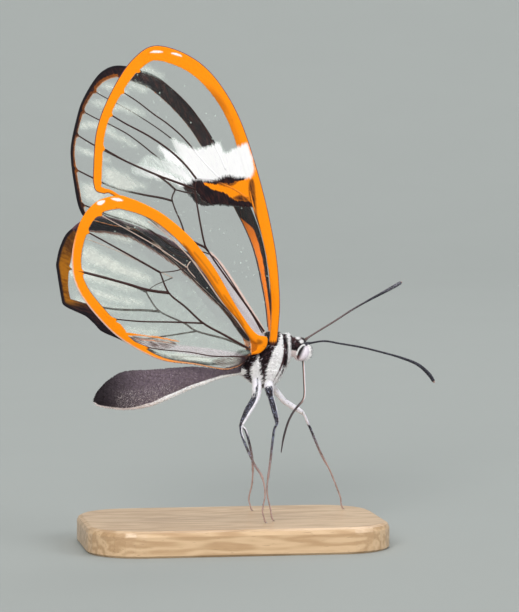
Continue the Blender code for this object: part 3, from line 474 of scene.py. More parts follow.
class StageLooks(bpy.types.PropertyGroup):
    """Floor and lights."""
    floor: tone("Floor", "Colour of the floor", (0.345, 0.365, 0.355))
    key: number("Key light", "Power of the key light, W", 12.0, min=0)
    fill: number("Fill light", "Power of the fill light, W", 8.0, min=0)
    rear: number("Rear light", "Power of the rear light, W", 2.6, min=0)
    wall: number("Wall light", "Power of the light on the wall, W", 5.5, min=0)
    sky: number("Sky", "Strength of the light all round", 0.3, min=0)


# Curves and fields

def read(line, steps, at):
    """Columns of a line at some lengths, from the length up to each of its points."""
    return np.stack([np.interp(at, steps, column) for column in line.T], axis=1)


def lengths(line):
    """Length of a polyline up to each of its points."""
    steps = np.linalg.norm(np.diff(line, axis=0), axis=1)
    return np.concatenate([[0.0], np.cumsum(steps)])


def spaced(line, count, dims=3):
    """Points of a polyline at even steps of the length of its first dims columns."""
    along = lengths(line[:, :dims])
    return read(line, along, np.linspace(0.0, along[-1], count))


def cubic(ends, knots, t):
    """Catmull-Rom cubic: each span blends its two knots and their two neighbours."""
    i = np.minimum(t.astype(int), knots - 2)
    u = (t - i)[:, None]
    p0, p1, p2, p3 = ends[i], ends[i + 1], ends[i + 2], ends[i + 3]
    return 0.5 * (2 * p1 + (p2 - p0) * u + (2 * p0 - 5 * p1 + 4 * p2 - p3) * u ** 2
                  + (3 * p1 - p0 - 3 * p2 + p3) * u ** 3)


def curve(knots, count, dims=3):
    """Catmull-Rom curve through the knots, as count points at even steps of its length."""
    knots = np.asarray(knots, float)
    ends = np.vstack([2 * knots[0] - knots[1], knots, 2 * knots[-1] - knots[-2]])
    t = np.linspace(0.0, len(knots) - 1.0, 24 * (len(knots) - 1) + 1)
    return spaced(cubic(ends, len(knots), t), count, dims)


def loop(knots, count):
    """Closed Catmull-Rom curve through the knots, its first point repeated at the end."""
    knots = np.asarray(knots, float)
    ends = np.vstack([knots[-1:], knots, knots[:2]])
    t = np.linspace(0.0, float(len(knots)), 12 * len(knots) + 1)
    return spaced(cubic(ends, len(knots) + 1, t), count, 2)


def nearest(points, line):
    """Least distance of each point to a polyline, and the segment and share where it is."""
    best = np.full(len(points), np.inf)
    where = np.zeros(len(points))
    for i in range(len(line) - 1):
        start, step = line[i, :2], line[i + 1, :2] - line[i, :2]
        t = np.clip((points - start) @ step / max(step @ step, 1e-12), 0.0, 1.0)
        gap = np.linalg.norm(points - start - t[:, None] * step, axis=1)
        closer = gap < best
        best = np.where(closer, gap, best)
        where = np.where(closer, i + t, where)
    return best, where


def inside(points, ring):
    """Even-odd test of points against a closed ring."""
    x, y = points.T
    odd = np.zeros(len(points), bool)
    for (x0, y0), (x1, y1) in zip(ring[:-1], ring[1:]):
        if y0 == y1:
            continue
        odd ^= ((y0 > y) != (y1 > y)) & (x < x0 + (y - y0) * (x1 - x0) / (y1 - y0))
    return odd


def depth(points, outlines):
    """Distance inside the nearest of several closed outlines, negative outside them all."""
    best = np.full(len(points), OUTSIDE)
    for knots in outlines:
        ring = loop(knots, 8 * len(knots) + 1)
        gap = nearest(points, ring)[0]
        best = np.maximum(best, np.where(inside(points, ring), gap, -gap))
    return best


def over(z, knots):
    """Value at z of a curve given as pairs of z and value."""
    knots = np.asarray(knots, float)
    return np.interp(z, knots[:, 0], knots[:, 1])


def unit(vectors):
    """Vectors scaled to length one."""
    return vectors / np.maximum(np.linalg.norm(vectors, axis=-1, keepdims=True), 1e-9)


def smooth_step(x, low, high):
    """Smooth rise from 0 at low to 1 at high."""
    t = np.clip((x - low) / (high - low), 0.0, 1.0)
    return t * t * (3 - 2 * t)


def plateau(x, low, high, fall, end):
    """Smooth rise from low to high, and smooth fall from fall to end."""
    return smooth_step(x, low, high) * (1 - smooth_step(x, fall, end))


def hump(x, middle, reach):
    """Bell curve of height one."""
    return np.exp(-((x - middle) / reach) ** 2)


# Meshes

def signed_volume(points, faces):
    """Signed volume under faces of three or four corners."""
    total = 0.0
    for group in faces:
        for k in range(1, group.shape[1] - 1):
            a, b, c = points[group[:, 0]], points[group[:, k]], points[group[:, k + 1]]
            total += np.einsum("ij,ij->", a, np.cross(b, c)) / 6
    return total


def add_piece(name, points, faces, material, fields=None, uv=None, replaces=()):
    """Mesh object at the origin from points in the body frame, faces turned outward.

    fields are numbers per point, and uv is (map name, pair per point). The piece rides on
    the body and stands for the nodes in replaces.
    """
    faces = [np.asarray(group) for group in faces if len(group)]
    points = place(points)
    if signed_volume(points - points.mean(axis=0), faces) < 0:
        faces = [group[:, ::-1] for group in faces]
    corners = np.concatenate([group.ravel() for group in faces])
    sizes = np.concatenate([np.full(len(group), group.shape[1]) for group in faces])
    mesh = bpy.data.meshes.new(name)
    mesh.vertices.add(len(points))
    mesh.vertices.foreach_set("co", points.ravel())
    mesh.loops.add(len(corners))
    mesh.loops.foreach_set("vertex_index", corners)
    mesh.polygons.add(len(sizes))
    mesh.polygons.foreach_set("loop_start", np.concatenate([[0], np.cumsum(sizes)[:-1]]))
    mesh.polygons.foreach_set("use_smooth", np.ones(len(sizes), bool))
    for field, values in (fields or {}).items():
        layer = mesh.attributes.new(field, "FLOAT", "POINT")
        layer.data.foreach_set("value", np.asarray(values, np.float32).ravel())
    if uv is not None:
        layer = mesh.uv_layers.new(name=uv[0])
        layer.uv.foreach_set("vector", np.asarray(uv[1], np.float32)[corners].ravel())
    mesh.update(calc_edges=True)
    if mesh.validate():
        raise RuntimeError(f"{name} has broken faces")
    piece = bpy.data.objects.new(name, mesh)
    bpy.context.scene.collection.objects.link(piece)
    mesh.materials.append(material)
    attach(piece, "root")
    if replaces:
        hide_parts(*replaces)
    return piece


def around(sides):
    """Even angles of a full turn."""
    return 2 * math.pi * np.arange(sides) / sides


def sweep(path, wide, thick, across, sides):
    """Rings round a path: centre + wide cos t sideways + thick sin t the other way.

    The sideways direction is square to the path and to across, and the other is square to
    both. Returns rings by sides points.
    """
    along = unit(np.gradient(path, axis=0))
    side = unit(np.cross(along, np.broadcast_to(across, path.shape)))
    rise = np.cross(side, along)
    t = around(sides)[None, :, None]
    return (path[:, None] + wide[:, None, None] * np.cos(t) * side[:, None]
            + thick[:, None, None] * np.sin(t) * rise[:, None])


def grid_quads(rows, sides):
    """Quads between neighbouring rings of a grid, each ring closed on itself."""
    i, j = np.meshgrid(np.arange(rows - 1), np.arange(sides), indexing="ij")
    k = (j + 1) % sides
    return np.stack([i * sides + j, i * sides + k, (i + 1) * sides + k, (i + 1) * sides + j],
                    axis=-1).reshape(-1, 4)


def tube_faces(rows, sides):
    """Quads between rings and fans to the two poles that follow the rings."""
    j = np.arange(sides)
    k = (j + 1) % sides
    first = np.stack([np.full(sides, rows * sides), k, j], axis=1)
    end = (rows - 1) * sides
    last = np.stack([np.full(sides, rows * sides + 1), end + j, end + k], axis=1)
    return grid_quads(rows, sides), np.vstack([first, last])


def closed_tube(rings, fields=None):
    """Points, faces and fields of one tube, with a pole in the middle of each end ring."""
    rows, sides = rings.shape[:2]
    points = np.vstack([rings.reshape(-1, 3), rings[0].mean(axis=0), rings[-1].mean(axis=0)])
    out = {}
    for field, values in (fields or {}).items():
        values = np.broadcast_to(values, (rows, sides))
        out[field] = np.concatenate([values.ravel(), [values[0].mean(), values[-1].mean()]])
    return points, tube_faces(rows, sides), out


def joined(parts):
    """Several (points, (quads, triangles), fields) as one."""
    points, quads, tris, fields = [], [], [], {}
    start = 0
    for part_points, (part_quads, part_tris), part_fields in parts:
        points.append(part_points)
        quads.append(part_quads + start)
        tris.append(part_tris + start)
        for field, values in part_fields.items():
            fields.setdefault(field, []).append(values)
        start += len(part_points)
    fields = {field: np.concatenate(values) for field, values in fields.items()}
    return np.vstack(points), (np.vstack(quads), np.vstack(tris)), fields


def add_tube(name, rings, fields, material):
    """Piece of one closed tube, in the place of the node of its name."""
    points, faces, fields = closed_tube(rings, fields)
    add_piece(name, points, faces, material, fields, replaces=(name,))


def tufts(root, lie, normal, length, width, curl, sink=0.04):
    """Tapered three-sided blades: a base ring, a middle ring and a tip for each root.

    The base is sunk under the surface, the middle is lifted by curl times the length, and
    the tip falls back toward the surface. Returns points by tuft and corner, and faces.
    """
    count = len(root)
    lie = unit(lie)
    side = unit(np.cross(lie, normal))
    length = np.broadcast_to(length, count)[:, None]
    width = np.broadcast_to(width, count)[:, None]
    base = root - sink * normal
    middle = root + 0.5 * length * lie + curl * length * normal
    tip = root + length * lie
    rings = []
    for centre, size in ((base, 0.8), (middle, 1.0)):
        rings += [centre - 0.5 * size * width * side, centre + 0.5 * size * width * side,
                  centre + 0.35 * size * width * normal]
    points = np.stack(rings + [tip], axis=1)
    quads = np.array([(0, 1, 4, 3), (1, 2, 5, 4), (2, 0, 3, 5)])
    tris = np.array([(0, 2, 1), (3, 4, 6), (4, 5, 6), (5, 3, 6)])
    start = (TUFT_CORNERS * np.arange(count))[:, None, None]
    return points, ((quads + start).reshape(-1, 4), (tris + start).reshape(-1, 3))


# Materials

class Value:
    """A number or vector of a node tree; +, - and * add Math nodes."""

    def __init__(self, finish, socket):
        self.finish = finish
        self.socket = socket

    def math(self, operation, *others):
        values = dict(enumerate((self,) + others))
        return self.finish.node("ShaderNodeMath", {"operation": operation}, values)

    def __add__(self, other):
        return self.math("ADD", other)

    def __sub__(self, other):
        return self.math("SUBTRACT", other)

    def __rsub__(self, other):
        return self.finish.node("ShaderNodeMath", {"operation": "SUBTRACT"}, {0: other, 1: self})

    def __mul__(self, other):
        return self.math("MULTIPLY", other)

    __radd__ = __add__
    __rmul__ = __mul__

    def most(self, other):
        return self.math("MAXIMUM", other)

    def least(self, other):
        return self.math("MINIMUM", other)

    def rise(self, low, high):
        """Smooth step from 0 at low to 1 at high."""
        return self.finish.node("ShaderNodeMapRange", {"interpolation_type": "SMOOTHSTEP"},
                                {"Value": self, "From Min": low, "From Max": high})

    def vector(self, operation, numbers):
        """Vector with three numbers added or multiplied."""
        return self.finish.node("ShaderNodeVectorMath", {"operation": operation},
                                {0: self, 1: numbers})

    def scaled(self, factors):
        return self.vector("MULTIPLY", factors)


class Finish:
    """A material in the making, with its Principled shader."""

    def __init__(self, name):
        self.material = bpy.data.materials.new(name)
        self.material.use_nodes = True
        self.tree = self.material.node_tree
        self.shader = self.tree.nodes["Principled BSDF"]

    def node(self, kind, settings, values, output=0):
        """Node of a type with its settings and the values or links of its sockets."""
        made = self.tree.nodes.new(kind)
        for key, setting in settings.items():
            setattr(made, key, setting)
        for key, value in values.items():
            self.feed(made.inputs[key], value)
        return Value(self, made.outputs[output])

    def feed(self, socket, value):
        """Link a Value to a socket, or set the socket's own number, vector or colour."""
        if isinstance(value, Value):
            self.tree.links.new(value.socket, socket)
        elif hasattr(value, "__len__"):
            opaque = (1.0,) if len(socket.default_value) > len(value) else ()
            socket.default_value = tuple(value) + opaque
        else:
            socket.default_value = value

    def done(self, colour, **values):
        """Feed the Principled shader, _ for a space in names, and give the material."""
        values["Base_Color"] = colour
        for key, value in values.items():
            self.feed(self.shader.inputs[key.replace("_", " ")], value)
        return self.material

    def field(self, name):
        """A number stored on the mesh."""
        return self.node("ShaderNodeAttribute", {"attribute_name": name}, {}, 2)

    def map(self, name):
        """A UV map of the mesh."""
        return self.node("ShaderNodeUVMap", {"uv_map": name}, {})

    def place(self, scale=1000.0):
        """Object coordinates, in millimetres unless another scale is given."""
        return self.node("ShaderNodeTexCoord", {}, {}, 3).scaled((scale, scale, scale))

    def noise(self, vector, scale, detail, rough):
        values = {"Vector": vector, "Scale": scale, "Detail": detail, "Roughness": rough}
        return self.node("ShaderNodeTexNoise", {}, values)

    def speckle(self, scale, detail, rough):
        """Noise over the place in millimetres."""
        return self.noise(self.place(), scale, detail, rough)

    def cells(self, vector, scale):
        """Distance within a cell pattern."""
        return self.node("ShaderNodeTexVoronoi", {}, {"Vector": vector, "Scale": scale})

    def waves(self, vector, scale, warp, detail):
        values = {"Vector": vector, "Scale": scale, "Distortion": warp, "Detail": detail}
        return self.node("ShaderNodeTexWave", {}, values)

    def mix(self, share, first, second):
        """Colour from first at 0 to second at 1."""
        settings = {"data_type": "RGBA", "clamp_factor": True}
        return self.node("ShaderNodeMix", settings, {0: share, 6: first, 7: second}, 2)

    def bump(self, height, distance, strength):
        """Bump of a height in millimetres times distance."""
        values = {"Height": height, "Distance": distance * MM, "Strength": strength}
        return self.node("ShaderNodeBump", {}, values)


def wing_finish(name, looks):
    """Clear membrane with scaled rims and patches, its two faces coloured apart.

    Every patch is a distance in millimetres stored on the mesh. A streaky noise that runs
    from the root outward is added before each threshold, so patches end in ragged scales.
    """
    f = Finish(name)
    rows = f.map("ScaleRows")
    streak = f.noise(rows.scaled((1.1, 9.0, 1.0)), 1.0, 3.0, 0.6)
    grain = f.noise(rows.scaled((9.0, 22.0, 1.0)), 1.0, 2.0, 0.6)
    drift = f.speckle(0.55, 3.0, 0.55)
    mottle = f.speckle(2.2, 4.0, 0.65)
    ragged = (streak - 0.5) + (grain - 0.5) * 0.5

    def mask(distance, rough, low, high):
        return (distance + ragged * rough).rise(low, high)

    outside = f.field("side").rise(0.45, 0.55)
    edge = f.field("edge")
    rim = f.field("rim")
    hind = f.field("hind")
    fore = 1.0 - hind
    front = f.field("front")
    root = f.field("root")
    # Painted backlight: a milky film standing for light scattered through the membrane from behind.
    milk = f.field("milk")
    hem_share = f.field("hem")
    olive = f.field("olive")
    band = f.field("streak")

    rim_mask = mask(rim, 0.12, -0.03, 0.04)
    white_mask = mask(f.field("white"), 0.62, -0.16, 0.2)
    white_mask = white_mask * (1.0 - f.field("fade") * (streak * 1.6 - 0.15).most(0.0).least(0.9))
    speck_mask = mask(f.field("speck"), 0.16, -0.04, 0.08)
    bar_mask = mask(f.field("bar"), 0.45, -0.08, 0.1)
    amber_mask = mask(f.field("amber"), 0.46 - hind * 0.28, -0.04, 0.07)
    brown_mask = mask(f.field("brown"), 0.3 - hind * 0.18, -0.16, 0.12)
    pearl_mask = mask(f.field("pearl"), 0.3, -0.1, 0.18)
    pink_mask = mask(f.field("pink"), 0.12, -0.03, 0.06)
    haze_mask = mask(f.field("haze"), 1.0, -0.35, 0.55)

    orange = f.mix(grain.rise(0.3, 0.75), looks.orange, (0.95, 0.245, 0.001))
    lines = f.waves(rows.scaled((0.02, 1.0, 1.0)), 1.4, 1.5, 1.0).rise(0.25, 0.8)
    shade = f.field("shade") * (0.4 + lines * 0.6)
    shade = (shade + (drift - 0.6).rise(0.0, 0.25) * 0.2).least(1.0)
    dots = (0.15 - f.cells(f.place(), 2.3)).rise(0.0, 0.05) * (drift - 0.5).rise(0.0, 0.1)
    shade = shade.most(dots * hind * 0.75)
    fine = f.noise(rows.scaled((7.0, 9.0, 1.0)), 1.0, 3.0, 0.7).rise(0.52, 0.7)
    orange = f.mix(fine * 0.4, orange, (0.8, 0.17, 0.001))
    orange = f.mix(shade, orange, (0.36, 0.085, 0.004))
    orange = f.mix(f.field("faint") * (0.15 + drift), orange, (0.74, 0.42, 0.26))
    umber = f.mix(streak.rise(0.35, 0.65), (0.035, 0.01, 0.006), (0.3, 0.085, 0.008))
    rust = f.mix(front, f.mix(grain, (0.1, 0.026, 0.008), (0.42, 0.115, 0.01)),
                 f.mix(grain, looks.rust, (0.92, 0.23, 0.01)))
    dark = f.mix(streak.rise(0.4, 0.75), looks.black, looks.umber)

    film = f.mix(streak, looks.clear, (0.74, 0.8, 0.74))
    film = f.mix(haze_mask * 0.8, film, (0.84, 0.84, 0.78))
    film = f.mix(pearl_mask, film, f.mix(grain.rise(0.3, 0.7), looks.pearl, (0.82, 0.78, 0.84)))
    film = f.mix(pink_mask, film, (0.78, 0.56, 0.5))

    mauve = f.mix(streak.rise(0.3, 0.7), (0.5, 0.42, 0.4), (0.1, 0.066, 0.06))
    bar_tone = (bar_mask * 4.0).least(1.0)
    outer = f.mix(bar_tone, film, f.mix(hind, dark, mauve))
    outer = f.mix(amber_mask, outer, orange)
    seam = f.mix(grain.rise(0.35, 0.65), (0.8, 0.6, 0.5), (0.52, 0.3, 0.2))
    outer = f.mix(rim_mask, outer, f.mix(hem_share * fore, orange, seam))
    outer = f.mix(brown_mask * rim_mask.most(amber_mask) * (1.0 - hind * 0.4), outer, umber)
    lip = (0.09 - (rim + 0.03).most(0.0 - rim)).rise(-0.02, 0.06)
    lip = lip * (0.15 + hind * 0.55) * (1.0 - amber_mask)
    outer = f.mix(lip, outer, (0.07, 0.022, 0.01))
    hem = (0.075 + ragged * 0.03 - edge).rise(0.0, 0.03)
    outer = f.mix(hem * fore, outer, (0.13, 0.04, 0.062))
    pale_hem = (0.17 + ragged * 0.12 - edge).rise(0.0, 0.12)
    outer = f.mix(pale_hem * hind * hem_share, outer, (0.8, 0.56, 0.5))
    outer = f.mix(white_mask, outer, f.mix(streak.rise(0.45, 0.85), looks.white, (0.8, 0.77, 0.82)))
    outer = f.mix(speck_mask, outer, looks.white)

    slim = rim - (1.0 - front) * fore * 0.06
    slim_mask = mask(slim, 0.12, -0.03, 0.04)
    rust_mask = mask(f.field("rust") - slim, 0.22, -0.02, 0.08)
    rust_mask = rust_mask * (drift * 2.6 - 0.8 + front).least(1.0).most(0.0)
    drab = f.mix((streak * 0.6 + drift * 0.6).rise(0.42, 0.72), (0.07, 0.022, 0.003),
                 (0.33, 0.125, 0.006))
    rim_colour = f.mix(rust_mask, f.mix(olive, dark, drab), rust)
    band_mask = mask(band, 0.3, -0.08, 0.1)
    fuzz_mask = mask(band + 0.26, 0.55, -0.1, 0.15)
    inner = f.mix(bar_tone * fore, film, dark)
    inner = f.mix(slim_mask, inner, rim_colour)
    fuzz = f.mix(grain.rise(0.45, 0.75), (0.105, 0.03, 0.022), (0.42, 0.22, 0.11))
    inner = f.mix(fuzz_mask, inner, fuzz)
    core = f.mix(streak.rise(0.35, 0.8), (0.003, 0.003, 0.006), (0.026, 0.013, 0.024))
    inner = f.mix(band_mask, inner, core)
    fuzzy_front = (0.42 + ragged * 0.7 - edge).rise(0.0, 0.3) * band_mask
    inner = f.mix(fuzzy_front * 0.8, inner, (0.12, 0.055, 0.075))
    border = (0.26 + ragged * 0.1 - edge).rise(0.0, 0.06) * (1.0 - band_mask)
    inner = f.mix(border, inner, looks.black)
    inner = f.mix(white_mask, inner, looks.white)

    colour = f.mix(outside, inner, outer)
    colour = f.mix(root * (0.7 + grain * 0.5).least(1.0), colour, (0.022, 0.01, 0.014))

    inside_only = (1.0 - outside) * band_mask.most(fuzz_mask * 0.85)
    rim_solid = (rim_mask * outside).most(slim_mask * (1.0 - olive * 0.22))
    patchy = 0.97 - hind * (0.8 - streak.rise(0.35, 0.65) * 0.65)
    solid = rim_solid.most(white_mask).most(bar_mask * patchy).most(speck_mask)
    solid = solid.most(amber_mask * outside).most(inside_only).most(root)
    film_of_scales = pearl_mask * (0.75 - hind * (0.72 - streak.rise(0.3, 0.7) * 0.6))
    solid = solid.most(film_of_scales * outside).most(pink_mask * 0.85 * outside)
    cloud = (mottle - 0.4).rise(0.0, 0.35)
    # The milky film added here paints the glow of light scattered through the membrane from behind.
    cover = looks.cover + milk * (0.035 + cloud * 0.09) + haze_mask * (0.3 + cloud * 0.2)
    scratches = f.noise(rows.scaled((1.6, 26.0, 1.0)), 1.0, 1.0, 0.5).rise(0.66, 0.8)
    cover = cover + scratches * (0.04 + milk * 0.06)
    dust = (0.14 - f.cells(f.place(), 1.5)).rise(0.0, 0.05) * (drift - 0.42).rise(0.0, 0.1)
    cover = (cover + dust * 0.35).least(0.9)
    scale_rows = f.waves(rows, 3.2, 2.0, 2.0)
    height = solid * (grain * 0.7 + scale_rows * 0.5) + (1.0 - solid) * mottle * 0.35
    return f.done(colour, Alpha=cover.most(solid), Roughness=0.28 + solid * 0.34,
                  Specular_IOR_Level=0.12, Normal=f.bump(height, 0.035, 0.8))


def vein_finish(name, looks):
    """Brown chitin, paler along pale veins and orange where it crosses the rim."""
    f = Finish(name)
    spot = f.speckle(9.0, 2.0, 0.5)
    brown = f.mix(spot, (0.01, 0.005, 0.006), (0.06, 0.018, 0.014))
    rusty = f.mix(spot.rise(0.3, 0.7), (0.62, 0.165, 0.006), (0.95, 0.27, 0.004))
    colour = f.mix(f.field("rust"), brown, rusty)
    colour = f.mix(f.field("pale"), colour, f.mix(spot, (0.42, 0.3, 0.24), (0.62, 0.48, 0.42)))
    colour = f.mix(f.field("white"), colour, f.mix(spot, looks.white, (0.8, 0.77, 0.82)))
    return f.done(colour, Roughness=0.42 + spot * 0.2, Specular_IOR_Level=0.25,
                  Normal=f.bump(spot, 0.02, 0.6))


def fringe_finish(name):
    """Margin scales, dark or pale by the number stored on each."""
    f = Finish(name)
    spot = f.speckle(14.0, 1.0, 0.5)
    colour = f.mix(f.field("pale"), f.mix(spot, (0.02, 0.01, 0.016), (0.11, 0.05, 0.05)),
                   f.mix(spot, (0.62, 0.42, 0.34), (0.86, 0.74, 0.68)))
    return f.done(colour, Roughness=0.6, Specular_IOR_Level=0.2, Normal=f.bump(spot, 0.01, 0.5))


def body_colour(f, looks):
    """Colour of skin and coat alike, from the markings stored on the mesh, and its grain."""
    grain = f.speckle(9.0, 3.0, 0.65)
    speck = f.cells(f.place(), 6.5)
    tint = f.field("tint")
    white = (f.field("white") + (grain - 0.5) * 0.1).rise(-0.05, 0.05)
    tips = (grain * 0.6 + tint * 0.5 + f.field("warm") * 0.35).rise(0.5, 0.85)
    dark = f.mix(tips, looks.dark, looks.brown)
    mauve = f.mix((grain + tint * 0.4 - 0.2).rise(0.3, 0.75), looks.mauve, (0.2, 0.155, 0.17))
    spots = (0.3 - speck).rise(0.0, 0.1) * grain.rise(0.45, 0.62)
    mauve = f.mix(spots, mauve, (0.36, 0.3, 0.33))
    mauve = f.mix(f.field("tail") * 0.94, mauve, (0.01, 0.007, 0.009))
    fleck = f.speckle(15.0, 2.0, 0.75).rise(0.53, 0.62)
    mauve = f.mix(fleck * grain.rise(0.4, 0.6) * f.field("dust"), mauve, (0.72, 0.64, 0.64))
    dark = f.mix((tint - 0.92).rise(0.0, 0.04) * 0.8, dark, (0.66, 0.63, 0.7))
    colour = f.mix(f.field("abdomen"), dark, mauve)
    pale = f.mix((grain * 0.7 + tint * 0.5).rise(0.45, 0.95), looks.white, (0.94, 0.91, 0.95))
    pale = f.mix(f.field("blush"), pale, (0.8, 0.62, 0.6))
    return f.mix(white, colour, pale), grain


def skin_finish(name, looks):
    """Scaled skin: small overlapping scales in the bump."""
    f = Finish(name)
    colour, grain = body_colour(f, looks)
    scale = f.cells(f.place().scaled((0.6, 1.0, 1.0)), 16.0)
    return f.done(colour, Roughness=0.55 + grain * 0.25, Specular_IOR_Level=0.12,
                  Normal=f.bump(scale * 0.6 + grain * 0.6, 0.03, 0.9))


def coat_finish(name, looks):
    """Scales and hairs with a silky gloss."""
    f = Finish(name)
    colour, grain = body_colour(f, looks)
    return f.done(colour, Roughness=0.5 + grain * 0.25, Specular_IOR_Level=0.14,
                  Normal=f.bump(grain, 0.012, 0.6))


def eye_finish(name, looks):
    """Facets in the bump; dark along the rear edge, fading to a painted pale sheen in front."""
    f = Finish(name)
    grain = f.speckle(5.0, 2.0, 0.5)
    facet = f.cells(f.place(), 30.0)
    share = (f.field("across") + (grain - 0.5) * 0.12).rise(-0.62, 0.12)
    # Dark at the rear, fading to a painted pale sheen at the front.
    colour = f.mix(share, looks.eye_dark, looks.eye_sheen)
    low = (0.0 - f.field("low") - 0.3).rise(0.0, 0.35)
    colour = f.mix(low * (1.0 - share) * 0.5, colour, (0.2, 0.045, 0.03))
    colour = f.mix(facet.rise(0.35, 0.6) * 0.3, colour, looks.eye_dark)
    return f.done(colour, Roughness=0.36, Coat_Weight=0.12, Coat_Roughness=0.3,
                  Specular_IOR_Level=0.35, Normal=f.bump(0.6 - facet, 0.01, 0.5))


def limb_finish(name, dusty):
    """Legs, feelers and tongue: dark cuticle with pale stripes of scales.

    dusty is the share of pale scales scattered over the dark parts.
    """
    f = Finish(name)
    grain = f.speckle(11.0, 3.0, 0.6)
    dust = f.cells(f.place(), 9.0)
    dark = f.mix(grain.rise(0.35, 0.75), (0.006, 0.007, 0.012), (0.03, 0.024, 0.034))
    dark = f.mix((0.32 - dust).rise(0.0, 0.05) * dusty, dark, (0.62, 0.66, 0.92))
    pink = f.mix(grain, (0.34, 0.2, 0.17), (0.62, 0.42, 0.36))
    pale = f.mix(grain.rise(0.3, 0.8), (0.9, 0.88, 0.92), (0.6, 0.55, 0.68))
    colour = f.mix(f.field("pink"), dark, pink)
    colour = f.mix((f.field("pale") + (grain - 0.5) * 0.7).rise(0.35, 0.65), colour, pale)
    return f.done(colour, Roughness=0.45 + grain * 0.25, Specular_IOR_Level=0.25,
                  Normal=f.bump(grain + dust * 0.5, 0.018, 0.7))


def wood_finish(name):
    """Pale close-grained hardwood with a satin varnish, grain along X."""
    f = Finish(name)
    spot = f.place().vector("ADD", (0.0, 31.0, 14.0))
    flow = f.noise(spot.scaled((0.05, 0.35, 0.35)), 1.0, 3.0, 0.55)
    rings = (flow * 46.0).math("SINE")
    pores = f.noise(spot.scaled((0.5, 6.0, 6.0)), 1.0, 2.0, 0.6)
    depth_of_tone = (rings * 0.5 + 0.5) * 0.55 + pores * 0.55
    colour = f.mix(depth_of_tone.rise(0.15, 0.95), (0.62, 0.43, 0.26), (0.44, 0.275, 0.145))
    fleck = f.noise(spot.scaled((0.9, 9.0, 9.0)), 1.0, 1.0, 0.5).rise(0.66, 0.74)
    colour = f.mix(fleck * 0.5, colour, (0.25, 0.14, 0.07))
    return f.done(colour, Roughness=0.36 + pores * 0.14, Coat_Weight=0.25, Coat_Roughness=0.18,
                  Normal=f.bump(pores * 0.6 + rings * 0.2, 0.02, 0.5))


def floor_finish(name, looks):
    """Matt paper with a faint mottle."""
    f = Finish(name)
    spot = f.noise(f.place(1.0), 30.0, 3.0, 0.5)
    colour = f.mix(spot, looks.floor, tuple(0.97 * c for c in looks.floor))
    return f.done(colour, Roughness=0.92, Specular_IOR_Level=0.1)


# Wings

def wing_axes(name):
    """Root, and unit vectors backward, upward and outward in a wing's own plane."""
    kind, word = name.split("_")
    side = SIDES[word]
    lean, sweep_back, yaw = np.radians(WING_POSE[name])
    axes = np.array([[-math.cos(sweep_back), 0.0, -math.sin(sweep_back)],
                     [-math.sin(sweep_back), 0.0, math.cos(sweep_back)], [0.0, 1.0, 0.0]])
    tip = np.array([[1.0, 0.0, 0.0], [0.0, math.cos(lean), math.sin(lean)],
                    [0.0, -math.sin(lean), math.cos(lean)]])
    turn = np.array([[math.cos(yaw), math.sin(yaw), 0.0],
                     [-math.sin(yaw), math.cos(yaw), 0.0], [0.0, 0.0, 1.0]])
    root = np.array(WINGS[kind]["root"]) * (1.0, -side, 1.0)
    return root, (axes @ tip.T @ turn.T) * (1.0, side, 1.0)


def wing_point(name, flat, lift):
    """Root + a backward + b upward + (arch + pleats + lift) outward, for flat points a, b.

    The arch is a parabola over the height of the wing, and the pleats are a sine across it.
    """
    root, axes = wing_axes(name)
    margin = np.asarray(SHAPES[name][0])
    share = np.clip(flat[..., 1] / margin[:, 1].max(), 0.0, 1.0)
    arch = WING_ARCH * 4 * share * (1 - share)
    angle = np.arctan2(*np.moveaxis(flat + PLEAT_FOCUS, -1, 0))
    pleat = PLEAT * np.sin(PLEATS * angle) * np.clip(np.hypot(*np.moveaxis(flat, -1, 0)) / 6, 0, 1)
    out = (arch + pleat + lift)[..., None]
    return root + flat[..., :1] * axes[0] + flat[..., 1:2] * axes[1] + out * axes[2]


def margin_line(name, count):
    """Margin of a wing as count points, each with the width of its rim."""
    return curve(SHAPES[name][0], count, 2)


def patch_place(name, flat):
    """Flat points moved to where the wing's patches are drawn."""
    return flat + LEFT_PATCH_SHIFT if name == "forewing_left" else flat


def wing_sheet(name):
    """Flat points on a grid ruled between the front and the rear margin.

    Row u joins the point at share u of the front margin to the one at share u of the rear
    margin, which lags behind round the block at a hindwing's root, and column v runs across
    with closer steps near both margins.
    """
    facts = WINGS[name.split("_")[0]]
    line = margin_line(name, 1500)
    tip = line[:, 1].argmax()
    steps = 400
    share = np.linspace(0.0, 1.0, steps)
    front = spaced(line[:tip + 1], steps, 2)[:, :2]
    rear = spaced(line[tip:][::-1], steps, 2)[:, :2]
    u = np.linspace(0.0, 0.997, facts["rows"])
    t = np.linspace(0.0, 1.0, facts["across"])
    v = (0.45 * t + 0.55 * (0.5 - 0.5 * np.cos(math.pi * t)))[None, :, None]
    lag = np.interp(u, (0.0, 0.19, 0.34, 1.0), (0.0, 0.02, 0.24, 1.0))
    lag = lag if name.startswith("hind") else u
    return read(front, share, u)[:, None] * (1 - v) + read(rear, share, lag)[:, None] * v


